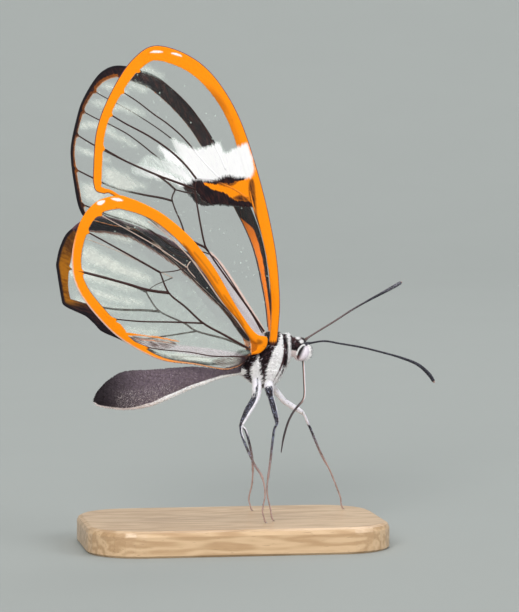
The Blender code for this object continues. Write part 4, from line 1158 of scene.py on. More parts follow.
def wing_fields(name, flat):
    """Distances in millimetres from margins, patches and root for flat points."""
    kind = name.split("_")[0]
    facts = WINGS[kind]
    margin = margin_line(name, 500)
    steps = np.arange(len(margin))
    tip = margin[:, 1].argmax()
    edge, where = nearest(flat, margin)
    share = where / (len(margin) - 1)
    width = np.interp(where, steps, margin[:, 2])
    front = where < tip
    a, b = flat.T
    nothing = np.zeros(len(flat))
    hind = kind == "hindwing"
    moved = patch_place(name, flat)
    fields = {key: depth(moved, facts[key]) for key in ("white", "bar", "amber", "brown")}
    for key in ("pearl", "pink"):
        shown = [] if name == "forewing_left" else facts[key]
        fields[key] = depth(flat, shown)
    if hind:
        shade = 0.8 * smooth_step(edge / width, 0.6, 0.95) * (b < 9.5) * front
        beyond = np.clip(where - tip, 0, None) / len(margin) * 60.0
        streak = over(np.interp(where, steps, margin[:, 0]), SHAPES[name][2]) - 0.26
        streak = streak * (1 - 0.6 * smooth_step(beyond, 0.3, 3.0)) - edge
        streak = np.where(beyond < 3.0, streak, -1.0 - edge)
        rust = nothing
        olive = (1.0 - front * (a < 15)) * smooth_step(b, 4.6, 6.0) * smooth_step(edge, 0.2, 0.4)
        olive = olive * (1 - 0.5 * smooth_step(b, 9.0, 11.5))
        # Painted backlight glow: a milky film over the hindwing, left out inside the clear outline where
        # the far wing's dark band lies behind.
        milk = smooth_step(-depth(flat, facts["clear"]), 0.0, 0.5)
        fade = nothing
        root = 1 - smooth_step(np.hypot(a - 1.3, b + 1.2), 0.3, 0.9)
        hem = plateau(share, 0.52, 0.6, 0.78, 0.86)
    else:
        shade = smooth_step(edge / width, 0.3, 0.85) * smooth_step(b, 16.2, 17.0)
        shade = 0.95 * shade * (1 - smooth_step(b, 21.0, 24.5)) * front
        streak = nothing + OUTSIDE
        rust = np.where(front, 0.55 * width * (1 - smooth_step(b, 10.2, 11.8)), 0.3)
        olive = nothing
        # A faint even painted backlight glow over the forewing.
        milk = nothing + 0.05
        fade = smooth_step(a, 8.0, 11.5)
        root = 1 - smooth_step(b + 0.06 * np.sin(31.0 * a), -0.34, -0.1)
        hem = (1 - front) * (1 - smooth_step(a, 12.0, 13.2)) * (b < 13.6)
    nub = nothing
    for knots, _ in SHAPES[name][1].values():
        nub = np.maximum(nub, np.exp(-(nearest(flat, curve(knots, 60, 2))[0] / 0.15) ** 2))
    return {
        **fields, "edge": edge, "rim": width - edge + 0.26 * nub * (1 - front),
        "faint": hind * (1 - front) * (1 - smooth_step(a, 6.5, 9.5)), "hind": nothing + hind,
        "front": front.astype(float), "shade": shade, "streak": streak, "rust": rust,
        "olive": olive, "milk": milk, "fade": fade, "speck": depth(flat, facts["specks"]),
        "root": root, "hem": hem, "haze": depth(flat, facts["haze"]),
    }


def add_wing(name, looks, material):
    """Membrane of one wing: two sheets set apart by its thickness and joined at the margin.

    Half the thickness is that of the membrane, plus a swell over the rim and a rounded
    front edge that thins toward the tip; it falls to a thin lip at the margin.
    """
    kind = name.split("_")[0]
    flat = wing_sheet(name)
    rows, across = flat.shape[:2]
    fields = wing_fields(name, flat.reshape(-1, 2))
    fields = {key: values.reshape(rows, across) for key, values in fields.items()}
    edge = fields["edge"]
    width = fields["rim"] + edge
    share = np.linspace(0.0, 1.0, rows)[:, None]
    lip = smooth_step(edge, 0.0, 0.1)
    band = np.clip(1 - np.abs(2 * edge / width - 1), 0.0, 1.0) ** 0.5
    swell = looks.rim_half * smooth_step(width - edge, -0.05, 0.15)
    costa = looks.costa_half * band * fields["front"] * (1 - smooth_step(share, 0.05, 0.85)) ** 1.5
    if kind == "hindwing":
        costa = costa * 0.6
    half = LIP_HALF + lip * (looks.half + swell) + costa

    def both(outer, inner):
        return np.concatenate([outer, inner[:, ::-1]], axis=1)

    rings = both(wing_point(name, flat, half), wing_point(name, flat, -half))
    grid = rings.shape[1]
    j = np.arange(across - 1)
    near, far = j, grid - 1 - j
    cap = np.stack([near, near + 1, far - 1, far], axis=1)
    faces = [grid_quads(rows, grid), cap[:, ::-1], cap + (rows - 1) * grid]
    spread = {field: both(values, values).ravel() for field, values in fields.items()}
    spread["side"] = both(np.ones((rows, across)), np.zeros((rows, across))).ravel()
    x, y = np.moveaxis(flat + ROWS_FOCUS, -1, 0)
    uv = np.stack([np.hypot(x, y), ROWS_TURN * np.arctan2(x, y)], axis=-1)
    add_piece(name + "_membrane", rings.reshape(-1, 3), faces, material, spread,
              ("ScaleRows", both(uv, uv).reshape(-1, 2)), (name,))


def add_veins(name, material):
    """Veins of one wing: an elliptic tube along each curve, tapering toward the margin."""
    kind = name.split("_")[0]
    outward = wing_axes(name)[1][2]
    facts = WINGS[kind]
    margin = margin_line(name, 300)
    outline = np.vstack([margin[:, :2], margin[:1, :2]])
    parts = []
    for vein, (knots, width) in SHAPES[name][1].items():
        line = curve(knots, max(8, round(lengths(np.asarray(knots))[-1] / VEIN_STEP)), 2)
        edge, where = nearest(line, margin)
        within = np.flatnonzero(inside(line, outline) & (edge > VEIN_END))
        line, edge, where = (part[:within[-1] + 1] for part in (line, edge, where))
        zero = np.zeros(len(line))
        size = 0.5 * width * (1.12 - 0.42 * np.linspace(0.0, 1.0, len(line)))
        rim = np.interp(where, np.arange(len(margin)), margin[:, 2])
        moved = patch_place(name, line)
        buried = np.maximum(smooth_step(rim - edge, -0.1, 0.5),
                            smooth_step(depth(moved, facts["amber"]), -0.1, 0.2))
        if f"{kind} {vein}" in BAND_VEINS:
            buried = np.maximum(buried, smooth_step(line[:, 1], 11.2, 12.6))
        white = zero
        if vein not in BARE_VEINS and facts["white"]:
            white = smooth_step(depth(moved, facts["white"]), -0.1, 0.25)
        rings = sweep(wing_point(name, line, zero), size, np.maximum(0.75 * size, 0.05), outward, 8)
        beyond = (rings - rings.mean(axis=1, keepdims=True)) @ outward > 0
        inner_share = 0.0 if kind == "forewing" else 1.0
        parts.append(closed_tube(rings, {
            "rust": np.clip(buried, 0, 1)[:, None] * np.where(beyond, 1.0, inner_share),
            "white": white[:, None], "pale": float(f"{kind} {vein}" in PALE_VEINS)}))
    points, faces, fields = joined(parts)
    add_piece(name + "_veins", points, faces, material, fields)


def add_fringe(name, looks, material):
    """Short scales along the margin, pointing out of the wing, each turned a little at random along it.
    """
    kind = name.split("_")[0]
    rng = np.random.default_rng(looks.seed + len(name))
    margin = margin_line(name, 1500)
    count = 1300
    at = np.sort(rng.uniform(0.02, 0.985, count)) * (len(margin) - 1)
    i = at.astype(int)
    spot = margin[i, :2]
    tangent = unit(margin[i + 1, :2] - spot)
    outward = np.stack([-tangent[:, 1], tangent[:, 0]], axis=1)
    if np.mean(np.sum(outward * (spot - margin[:, :2].mean(axis=0)), axis=1)) < 0:
        outward = -outward
    root = spot - 0.1 * outward
    share = at / len(margin)
    length = looks.fringe * rng.uniform(0.6, 1.15, count) * np.interp(
        share, (0.0, 0.3, 0.45, 0.8, 1.0), (0.45, 0.45, 0.8, 1.0, 1.5))
    level = rng.uniform(-0.02, 0.02, count)
    start = wing_point(name, root, level)
    way = 0.9 * outward + rng.uniform(-0.45, 0.45, (count, 1)) * tangent
    end = wing_point(name, root + way * length[:, None], level)
    normal = np.broadcast_to(wing_axes(name)[1][2], start.shape)
    points, faces = tufts(start, end - start, normal, length, width=0.055, curl=0.02,
                          sink=0.004)
    hem = plateau(share, 0.5, 0.56, 0.78, 0.86)
    if kind == "hindwing":
        pale = np.clip(hem + rng.uniform(-0.2, 0.2, count), 0, 1)
    else:
        pale = 0.15 * rng.random(count)
    uv = np.stack([0.05 + 0.9 * share, np.full(count, 0.5)], axis=1)
    add_coat(name + "_fringe", points, faces, uv, {"pale": pale}, material, kind)


def add_coat(name, points, faces, root_uv, fields, material, slot):
    """Piece of tufts, each with one patch of the coat's map at its root's place."""
    corner = np.array([(0, 0), (1, 0), (0.5, 0.4), (0, 0.6), (1, 0.6), (0.5, 0.8), (0.5, 1)])
    uv = root_uv[:, None] + (corner[None] - 0.5) * 0.003
    spread = {field: np.repeat(values, TUFT_CORNERS) for field, values in fields.items()}
    add_piece(name, points.reshape(-1, 3), faces, material, spread,
              ("OFBake", uv.reshape(-1, 2)))


# Body

def body_marks(points):
    """Markings of the body at points: distance inside white, and shares of other tones."""
    x, y, z = points.T
    centre, high, wide = (np.interp(x, *np.asarray(BODY)[:, (0, c)].T) for c in (1, 2, 3))
    low = centre - high
    band = np.minimum(x - over(z, BAND_REAR), over(z, BAND_FRONT) - x)
    neck = np.minimum(x - 2.15, z - 0.7 + 0.25 * (x - 2.15))
    collar = np.minimum(x - over(z, COLLAR_REAR), -neck)
    hind = np.minimum(x - over(z, HIND_REAR), over(z, HIND_FRONT) - x)
    split = over(z, SPLIT_HALF) - np.abs(x - over(z, SPLIT_LINE))
    split = np.where(z < -0.5, split, -1.0)
    waist = 0.35 - np.hypot((x + 2.35) / 1.05, z + 1.28)
    top = np.abs(y) / np.maximum(wide, 0.05) - 0.3
    middle = np.where(z > centre, 0.055 - np.abs(y), -1.0)
    thorax = np.maximum.reduce([
        np.minimum(band, top), np.minimum(collar, top + 0.25), np.minimum(hind, 0.45 - z), split,
        waist, np.minimum(middle, x + 1.6), np.minimum(0.22 - np.abs(y), low + 0.5 - z)])
    head = 0.68 - z - 0.25 * (x - 2.2)
    for spot_x, spot_z, long, tall in HEAD_SPOTS:
        reach = np.hypot((x - spot_x) / long, (z - spot_z) / tall)
        head = np.maximum(head, tall * (1 - reach))
    under = over(x, UNDERSIDE) - (z - low)
    rust = smooth_step(0.16 - np.abs(x - over(z, BAND_FRONT) - 0.08), 0.0, 0.12) * (z < 1.2)
    crown = smooth_step(x, 2.2, 2.4) * smooth_step(z, 1.2, 1.5) * (x < 2.7) * 0.8
    cheek = 0.5 * smooth_step(x, 2.1, 2.3) * (z < 0.8) * (x < 2.8)
    back = plateau(x, -15.0, -13.2, -9.6, -7.0)
    return {"white": np.where(x < -2.6, under, np.where(x < 2.2, thorax, head)),
            "abdomen": 1 - smooth_step(x, -3.0, -2.4), "tail": 1 - smooth_step(x, -16.0, -10.5),
            "dust": back * smooth_step(centre + 0.5 - z, 0.0, 0.9),
            "blush": np.maximum((1 - smooth_step(x, -12.0, -9.0)) * 0.5, cheek),
            "warm": np.maximum(rust, crown)}


def body_grid(rows, sides):
    """Skin as rings round a curved axis: y = w sin t, z = c + h cos t, with relief.

    Each row's section comes from the body table by a smooth curve. Relief adds the steps
    between the rings of the abdomen, a fold low on its flanks and the swell of the flight
    muscles, all measured square to the section.
    """
    table = curve(BODY, rows, 2)
    angle = around(sides)
    x = table[:, :1]
    reach = np.zeros((rows, sides))
    for end in SEGMENT_ENDS:
        step = np.clip((x - end) / 0.45, 0.0, 1.0) * np.exp(-np.clip(x - end, 0, None) / 0.5)
        reach = reach - 0.035 * hump(x, end, 0.07) + 0.02 * step
    reach = reach - 0.03 * hump(np.cos(angle), -0.62, 0.1) * (x < -3.2)
    reach = reach + 0.05 * (hump(x, 0.2, 1.2) * hump(np.cos(angle), 0.25, 0.35))
    reach = reach - 0.07 * (hump(x, -0.95, 0.12) + hump(x, 1.35, 0.1))
    return np.stack([np.broadcast_to(x, reach.shape), (table[:, 3:4] + reach) * np.sin(angle),
                     table[:, 1:2] + (table[:, 2:3] + reach) * np.cos(angle)], axis=-1)


def add_skin(material):
    """One seamless skin for head, thorax and abdomen."""
    points, faces, _ = closed_tube(body_grid(*SKIN_GRID))
    fields = body_marks(points)
    fields["tint"] = np.full(len(points), 0.3)
    add_piece("body_skin", points, faces, material, fields,
              replaces=("thorax", "head", "abdomen"))


def scatter(grid, count, weight, rng):
    """Random points on a ring grid by area times weight: place, normal, tail-ward way, uv."""
    rows, sides = grid.shape[:2]
    beside = np.roll(grid, -1, axis=1)
    along = grid[1:] - grid[:-1]
    normal = np.cross(along, (beside - grid)[:-1])
    area = np.linalg.norm(normal, axis=-1)
    chance = (area * weight((grid[:-1] + grid[1:]) / 2)).ravel()
    pick = rng.choice(len(chance), count, p=chance / chance.sum())
    i, j = pick // sides, pick % sides
    s, t = rng.random((2, count))
    a = grid[i, j] + s[:, None] * along[i, j]
    b = beside[i, j] + s[:, None] * (beside[i + 1, j] - beside[i, j])
    spot = a + t[:, None] * (b - a)
    outward = unit(normal[i, j])
    outward = outward * np.sign(np.sum(outward * (spot - grid[i].mean(axis=1)), axis=1))[:, None]
    uv = np.stack([UV_EDGE + UV_SPAN * (i + s) / rows, UV_EDGE + UV_SPAN * (j + t) / sides],
                  axis=1)
    return spot, outward, -unit(along[i, j]), uv


def brush(rings, count, rng, stand, stir, length, curl):
    """Tufts along a tube: their places, normals and uv, and their points and faces."""
    root, normal, tail, uv = scatter(rings, count, lambda p: np.ones(p.shape[:-1]), rng)
    way = -tail + stand * normal + rng.normal(0, stir, root.shape)
    length = length * rng.uniform(0.6, 1.2, count)
    return root, normal, uv, tufts(root, way, normal, length, 0.05, curl)


def add_body_coat(looks, material):
    """Tufts on thorax and head, and flat scales on the abdomen, lying toward the tail."""
    rng = np.random.default_rng(looks.seed)
    grid = body_grid(*SKIN_GRID)

    def shaggy(p):
        return smooth_step(p[..., 0], -2.9, -2.0) * (1 + 1.2 * smooth_step(p[..., 0], 1.5, 2.2))

    def scaly(p):
        return 1 - smooth_step(p[..., 0], -2.8, -2.2)

    def add(name, slot, root, uv, blades):
        fields = body_marks(root)
        fields["tint"] = rng.random(len(root))
        add_coat(name, *blades, uv, fields, material, slot)

    root, normal, tail, uv = scatter(grid, looks.tufts, shaggy, rng)
    x = root[:, 0]
    length = looks.coat * np.interp(x, (-2.6, -1.0, 1.2, 1.8, 2.3, 2.7, 3.6),
                                    (0.7, 1.0, 0.9, 0.9, 0.95, 0.55, 0.42))
    length = length * rng.uniform(0.65, 1.15, len(x))
    stand = np.interp(x, (-2.6, 0.0, 2.0, 2.6, 3.6), (0.25, 0.16, 0.3, 0.55, 0.7))
    fall = np.array([0.0, 0.0, -1.0]) * np.interp(x, (-2, 0, 2), (0.2, 0.5, 0.2))[:, None]
    way = tail + fall + stand[:, None] * normal + rng.normal(0, 0.16, root.shape)
    way = way - normal * np.minimum(np.sum(way * normal, axis=1), 0.0)[:, None]
    width = 0.062 * rng.uniform(0.7, 1.2, len(x))
    add("body_coat", "thorax", root, uv, tufts(root, way, normal, length, width, curl=0.06))

    root, normal, tail, uv = scatter(grid, looks.scales, scaly, rng)
    way = tail + 0.1 * normal + rng.normal(0, 0.12, root.shape)
    length = 0.17 * rng.uniform(0.7, 1.2, len(root))
    add("abdomen_scales", "abdomen", root, uv,
        tufts(root, way, normal, length, width=0.07, curl=0.03, sink=0.02))


def tone_fields(count, white, tint, blush=0.0):
    """Fields of the coat for pieces off the body."""
    zero = np.zeros(count)
    return {"white": zero + white, "abdomen": zero, "tail": zero, "blush": zero + blush,
            "tint": zero + tint, "warm": zero, "dust": zero}


def add_eye(word, looks, eye_material, coat_material):
    """Eye as a leaning ellipsoid, and a rim of white scales behind and below it.

    A point is centre + a u + b w + c y, with a along the eye's short axis, b along its long
    axis and c sideways, and u, w, y on the unit sphere. Its rear half is flatter.
    """
    side = SIDES[word]
    centre = np.array(EYE_CENTRE) * (1, side, 1)
    lean = math.radians(EYE_TILT)
    ahead = np.array([math.cos(lean), 0.0, -math.sin(lean)])
    upward = np.array([math.sin(lean), 0.0, math.cos(lean)])
    outward = np.array([0.0, float(side), 0.0])
    polar = np.linspace(0.0, math.pi, 50)[1:-1, None]
    turn = around(72)
    u, w = np.sin(polar) * np.cos(turn), np.sin(polar) * np.sin(turn)
    y = np.broadcast_to(np.cos(polar), u.shape)
    a, c, b = EYE_RADII
    flatter = np.where(u < 0, EYE_REAR, 1.0) * u
    ball = (centre + a * flatter[..., None] * ahead + b * w[..., None] * upward
            + c * y[..., None] * outward)
    add_tube("eye_" + word, ball, {"across": u, "low": w}, eye_material)
    rng = np.random.default_rng(looks.seed + SEED_STEPS["eye"] + side)
    count = 900
    angle = rng.uniform(0.58, 1.14, count) * math.pi
    cosine, sine = np.cos(angle)[:, None], np.sin(angle)[:, None]
    behind = np.where(cosine < 0, 0.8, 1.05) * cosine
    ring = centre + a * behind * ahead + 1.05 * b * sine * upward
    root = ring + rng.normal(0, 0.016, (count, 3)) + rng.uniform(-0.1, 0.22, (count, 1)) * outward
    normal = unit(cosine * ahead + sine * upward + 0.9 * outward)
    way = (0.8 * (cosine * upward - sine * ahead) + 0.45 * outward
           + rng.normal(0, 0.25, (count, 3)))
    blades = tufts(root, way, normal, length=0.15, width=0.045, curl=0.08, sink=0.03)
    uv = np.stack([0.02 + 0.45 * angle / math.pi, rng.uniform(0.3, 0.7, count)], axis=1)
    add_coat("eye_ring_" + word, *blades, uv, tone_fields(count, 0.3, 0.4 * rng.random(count)),
             coat_material, "head")


def add_palp(word, looks, coat_material, limb_material):
    """Curved palp with a white core, a coat of scales and black bristles in front."""
    side = SIDES[word]
    path = curve(np.asarray(PALP_PATH) * (1, side, 1), 40)
    radius = 0.92 * np.interp(np.linspace(0.0, 1.0, 40), np.linspace(0, 1, len(PALP_RADII)),
                              PALP_RADII)
    rings = sweep(path, radius, radius, Y_AXIS, 24)
    add_tube("palp_" + word, rings, tone_fields(1, 0.3, 0.0, 0.1), coat_material)
    rng = np.random.default_rng(looks.seed + SEED_STEPS["palp"] + side)
    count = 1300
    root, normal, uv, blades = brush(rings, count, rng, stand=0.45, stir=0.18, length=0.2, curl=0.06)
    dark = (normal[:, 0] > 0.55) & (rng.random(count) < 0.1)
    fields = tone_fields(count, np.where(dark, -0.3, 0.3), 0.6 * rng.random(count), 0.1)
    add_coat("palp_scales_" + word, *blades, uv, fields, coat_material, "palp")
    front = np.flatnonzero((normal[:, 0] > 0.35) & (root[:, 2] > -0.25))[:26]
    way = normal[front] + 0.5 * np.array([0.0, 0.0, 1.0]) + rng.normal(0, 0.2, (len(front), 3))
    blades = tufts(root[front], way, np.cross(way, Y_AXIS), length=0.42, width=0.035, curl=0.05)
    fields = {"pale": np.zeros(len(front)), "pink": np.zeros(len(front))}
    add_coat("palp_bristles_" + word, *blades, uv[front], fields, limb_material, "palp")


# Limbs

def add_antenna(word, material):
    """Feeler: a thick base joint, a thin ringed shaft and a long flat club."""
    count = 360
    path = curve(ANTENNA_PATHS[word], count)
    share = np.linspace(0.0, 1.0, count)
    radius = np.interp(share, (0.0, 0.028, 0.042, 0.056, 0.1, 0.62, 0.8, 0.94, 0.985, 1.0),
                       (0.17, 0.17, 0.12, 0.095, 0.088, 0.092, 0.14, 0.185, 0.16, 0.05))
    joints = 52
    phase = (share * joints) % 1.0
    radius = radius * (1 - 0.14 * hump(phase, 0.5, 0.12))
    sides = 16
    rings = sweep(path, radius, radius * np.interp(share, (0.6, 0.9), (1.0, 0.82)), Y_AXIS, sides)
    under = smooth_step(-np.sin(around(sides)), 0.2, 0.9)[None, :]
    pale = under * (np.abs(phase - 0.5) < 0.18)[:, None] * (share < 0.6)[:, None] * 0.35
    pink = smooth_step(share, 0.982, 0.998)[:, None] * 0.8
    if word == "left":
        dusty = np.interp(share, (0.0, 0.1, 0.7, 0.9), (0.15, 0.28, 0.28, 0.4))
        pale = np.maximum(pale, dusty[:, None])
        pink = np.maximum(pink, 0.22 * (1 - smooth_step(share, 0.3, 0.7))[:, None])
    add_tube("antenna_" + word, rings, {"pale": pale, "pink": pink}, material)


def add_proboscis(material):
    """Tongue: two half tubes side by side, their join a groove down its middle."""
    count = 260
    path = curve(PROBOSCIS_PATH, count)
    share = np.linspace(0.0, 1.0, count)
    radius = np.interp(share, (0.0, 0.05, 0.85, 1.0), (0.15, 0.125, 0.105, 0.05))
    radius = radius * (1 + 0.025 * np.sin(share * 2 * math.pi * 60))
    sides = 24
    rings = sweep(path, radius, radius, Y_AXIS, sides)
    centre = rings.mean(axis=1, keepdims=True)
    groove = 1 - 0.22 * hump(np.abs(np.cos(around(sides))), 1, 0.1)
    rings = centre + (rings - centre) * groove[None, :, None]
    ahead = (rings - centre)[..., 0] / radius[:, None]
    straight = 1 - smooth_step(share, 0.38, 0.52)[:, None]
    pink = smooth_step(ahead, -0.6, -0.2) * (0.12 + 0.88 * straight)
    pale = smooth_step(ahead, -0.15, 0.35) * 0.72 * straight
    add_tube("proboscis", rings, {"pale": pale, "pink": pink}, material)


def leg_parts(name):
    """One leg: hip, thigh, shank and five foot joints as one swept tube, with two claws."""
    path = LEG_PATHS[name]
    x, y, _ = path[-1]
    knots = np.asarray(path + [(x + 0.1, y, BASE_LEVEL + 0.62), (x + 0.28, y, BASE_LEVEL + 0.07)])
    line = curve(knots, 300)
    along = lengths(line)
    hip, knee = (along[np.argmin(np.linalg.norm(line - knots[point], axis=1))]
                 for point in (HIP_POINT, KNEE_POINT))
    ankle = knee + ANKLE_SHARE * (along[-1] - knee)
    marks = (0.0, 0.7 * hip, hip, hip + 0.25, 0.5 * (hip + knee) + 0.2, knee - 0.12, knee + 0.12,
             knee + 0.35, ankle - 0.1, ankle + 0.15, along[-1])
    radius = np.interp(along, marks,
                       (0.42, 0.41, 0.3, 0.27, 0.265, 0.19, 0.14, 0.13, 0.115, 0.08, 0.068))
    tarsus = np.clip((along - ankle) / (along[-1] - ankle), 0.0, 1.0)
    radius = radius * (1 - 0.22 * hump((tarsus * FOOT_JOINTS) % 1.0, 0.98, 0.1) * (tarsus > 0.05))
    if name == "midleg_left":
        radius = radius * (1 - 0.35 * (1 - smooth_step(along, 0.6 * hip, hip + 0.4)))
    rings = sweep(line, radius * np.where(along < knee, 1.0, 0.9), radius, Y_AXIS, 20)
    centre = rings.mean(axis=1, keepdims=True)
    ahead = (rings - centre)[..., 0] / radius[:, None]
    middle, half = LEG_STRIPES[name]
    hind = name.startswith("hind")
    core = 1.9 * hump(ahead, 0.1, 0.34) if hind else 0.2 * (middle > 0.5)
    cover = 1 - smooth_step(along[:, None] + core, hip - 0.6, hip - 0.2)
    stripe = smooth_step(half - np.abs(ahead - middle), -0.15, 0.15)
    stripe = stripe * (1 - smooth_step(along, knee + 0.6, knee + 2.2))[:, None]
    stripe = stripe * (0.85 if abs(middle) > 0.5 or half > 1 else 0.55)
    rear = 0.45 * smooth_step(-ahead, 0.8, 0.98) * hind
    pale = np.maximum(np.maximum(cover, stripe), rear)
    pink = smooth_step(along, knee + 1.5, ankle + 0.5)[:, None] * 0.75
    parts = [closed_tube(rings, {"pale": pale, "pink": pink})]
    size = np.linspace(0.035, 0.008, 8)
    for way in (1, -1):
        claw = line[-1] + [(-0.05, 0.0, 0.05), (0.06, 0.07 * way, 0.03), (0.15, 0.1 * way, -0.03)]
        hook = sweep(curve(claw, len(size)), size, size, (0.0, 0.0, 1.0), 6)
        parts.append(closed_tube(hook, {"pale": 0.0, "pink": 0.0}))
    return parts, line, along, hip, knee, radius


def add_leg(name, looks, material, coat_material):
    """A walking leg with spines on its shank and foot, and white scales on the hip."""
    slot, word = name.split("_")
    middle, half = LEG_STRIPES[name]
    parts, line, along, hip, knee, radius = leg_parts(name)
    points, faces, fields = joined(parts)
    add_piece(name, points, faces, material, fields, replaces=(name,))
    seed = looks.seed + SEED_STEPS["leg"] + len(name) + SIDES[word]
    rng = np.random.default_rng(seed)

    def spots(low, high, count):
        """Random places round the leg: how far along, middle, radius, way, normal and uv."""
        at = rng.uniform(low, high, count)
        way = unit(read(np.gradient(line, axis=0), along, at))
        turn = rng.uniform(0, 2 * math.pi, count)
        side = unit(np.cross(way, Y_AXIS))
        normal = np.cos(turn)[:, None] * side + np.sin(turn)[:, None] * np.cross(side, way)
        uv = np.stack([at / along[-1], turn / (2 * math.pi)], axis=1) * UV_SPAN + UV_EDGE
        return at, read(line, along, at), np.interp(at, along, radius)[:, None], way, normal, uv

    count = 150
    at, centre, size, way, normal, uv = spots(knee + 0.3, along[-1] - 0.15, count)
    blades = tufts(centre + 0.8 * size * normal, way + 0.55 * normal, normal,
                   rng.uniform(0.1, 0.22, count), width=0.028, curl=0.02, sink=0.01)
    fields = {"pale": 0.3 * rng.random(count), "pink": 0.5 * rng.random(count)}
    add_coat(name + "_spines", *blades, uv, fields, material, slot)
    count = 900
    at, centre, size, way, normal, uv = spots(0.0, knee, count)
    length = np.where(at < hip, 0.26, 0.13) * rng.uniform(0.7, 1.2, count)
    way = way + 0.22 * normal + rng.normal(0, 0.12, centre.shape)
    blades = tufts(centre + 0.92 * size * normal, way, normal, length, width=0.05, curl=0.04)
    striped = np.abs(normal[:, 0] - middle) < half
    bare = hip - 0.6 * (middle > 0.5) * (not name.startswith("hind"))
    white = np.where((at < bare) | (striped & (rng.random(count) < 0.8)), 0.3, -0.3)
    add_coat(name + "_scales", *blades, uv, tone_fields(count, white, rng.random(count)),
             coat_material, slot)


def add_foreleg(word, looks, material):
    """Small folded front leg held against the breast, brushy with white scales."""
    side = SIDES[word]
    path = curve(np.asarray(FORELEG_PATH) * (1, side, 1), 60)
    radius = np.interp(np.linspace(0.0, 1.0, 60), (0.0, 0.3, 0.7, 1.0), (0.22, 0.2, 0.15, 0.05))
    rings = sweep(path, radius, radius, Y_AXIS, 16)
    add_tube("foreleg_" + word, rings, tone_fields(1, 0.3, 0.0), material)
    rng = np.random.default_rng(looks.seed + SEED_STEPS["foreleg"] + side)
    count = 700
    _, _, uv, blades = brush(rings, count, rng, stand=0.35, stir=0.2, length=0.22, curl=0.05)
    add_coat("foreleg_scales_" + word, *blades, uv, tone_fields(count, 0.3, rng.random(count)),
             material, "foreleg")


# Stage

def bowl(radius, curb, wall, rows, sides):
    """Surface of revolution: a flat floor, a quarter circle and an upright wall."""
    turn = np.linspace(0.0, math.pi / 2, 24)[1:]
    reach = np.concatenate([np.linspace(0.02, radius, rows), radius + curb * np.sin(turn),
                            [radius + curb]])
    height = np.concatenate([np.zeros(rows), curb * (1 - np.cos(turn)), [wall]])
    angle = around(sides)
    points = np.stack([reach[:, None] * np.cos(angle), reach[:, None] * np.sin(angle),
                       np.broadcast_to(height[:, None], (len(reach), sides))], axis=-1)
    quads = grid_quads(len(reach), sides)[:, (0, 3, 2, 1)]
    j = np.arange(sides)
    fan = np.stack([np.full(sides, len(reach) * sides), j, (j + 1) % sides], axis=1)
    return np.vstack([points.reshape(-1, 3), (0.0, 0.0, 0.0)]), [quads, fan]


def pointed(name, data, right, back, spot):
    """Camera or light at spot, looking against back with right as its own X axis."""
    made = bpy.data.objects.new(name, data)
    bpy.context.scene.collection.objects.link(made)
    matrix = np.eye(4)
    matrix[:3] = np.stack([right, np.cross(back, right), back, spot], axis=1)
    made.matrix_world = Matrix(matrix.tolist())
    return made


def add_camera():
    """Camera at the picture's angle; the middle of the thorax falls on THORAX_PIXEL."""
    az, el = math.radians(AZIMUTH), math.radians(ELEVATION)
    back = np.array([math.sin(az) * math.cos(el), -math.cos(az) * math.cos(el), math.sin(el)])
    right = np.array([math.cos(az), math.sin(az), 0.0])
    reach = DISTANCE * MM
    across = (THORAX_PIXEL[0] - PICTURE[0] / 2) / FOCAL_PIXELS * reach
    above = (PICTURE[1] / 2 - THORAX_PIXEL[1]) / FOCAL_PIXELS * reach
    spot = place((0.0, 0.0, 0.0)) + reach * back - across * right - above * np.cross(back, right)
    data = bpy.data.cameras.new("camera")
    data.sensor_width = SENSOR
    data.lens = SENSOR * FOCAL_PIXELS / PICTURE[1]
    data.clip_start = 0.01
    data.clip_end = 20.0
    bpy.context.scene.camera = pointed("camera", data, right, back, spot)


def add_light(name, spot, aim, size, power, colour):
    """Square area light at spot, turned to aim, in metres."""
    data = bpy.data.lights.new(name, "AREA")
    data.size = size
    data.energy = power
    data.color = colour
    back = unit(np.subtract(spot, aim))
    pointed(name, data, unit(np.cross((0.0, 0.0, 1.0), back)), back, spot)


class GLASSWING_OT_stage(bpy.types.Operator):
    """Add the pale floor, the soft lights and the camera"""
    bl_idname = "glasswing.stage"
    bl_label = "Stage"

    def execute(self, context):
        looks = context.scene.glasswing_stage
        points, faces = bowl(radius=0.5, curb=0.8, wall=0.85, rows=30, sides=96)
        mesh = bpy.data.meshes.new("floor")
        mesh.from_pydata(points.tolist(), [], [f.tolist() for group in faces for f in group])
        mesh.shade_smooth()
        mesh.materials.append(floor_finish("floor paper", looks))
        floor = bpy.data.objects.new("floor", mesh)
        context.scene.collection.objects.link(floor)
        world = bpy.data.worlds.new("soft light")
        world.use_nodes = True
        background = world.node_tree.nodes["Background"]
        background.inputs["Color"].default_value = (0.95, 0.98, 1.0, 1.0)
        background.inputs["Strength"].default_value = looks.sky
        context.scene.world = world
        context.scene.view_settings.view_transform = "Standard"
        context.scene.cycles.transparent_max_bounces = 32
        model = (0.0, 0.0, 0.025)
        for name, spot, aim, size, colour in (
                ("key", (-0.42, -0.98, 0.56), model, 0.5, (1.0, 0.98, 0.95)),
                ("fill", (0.85, -0.6, 0.45), model, 0.7, (0.95, 0.98, 1.0)),
                ("rear", (0.25, 0.75, 0.85), model, 0.6, (1.0, 1.0, 1.0)),
                ("wall", (0.0, 0.1, 0.95), (0.15, 1.2, 0.25), 0.6, (1.0, 1.0, 1.0))):
            add_light(name, spot, aim, size, getattr(looks, name), colour)
        add_camera()
        return {"FINISHED"}


class GLASSWING_OT_membranes(bpy.types.Operator):
    """Add the four wing membranes"""
    bl_idname = "glasswing.membranes"
    bl_label = "Wing membranes"

    def execute(self, context):
        looks = context.scene.glasswing_wings
        material = wing_finish("wing membrane", looks)
        for name in WING_POSE:
            add_wing(name, looks, material)
        return {"FINISHED"}


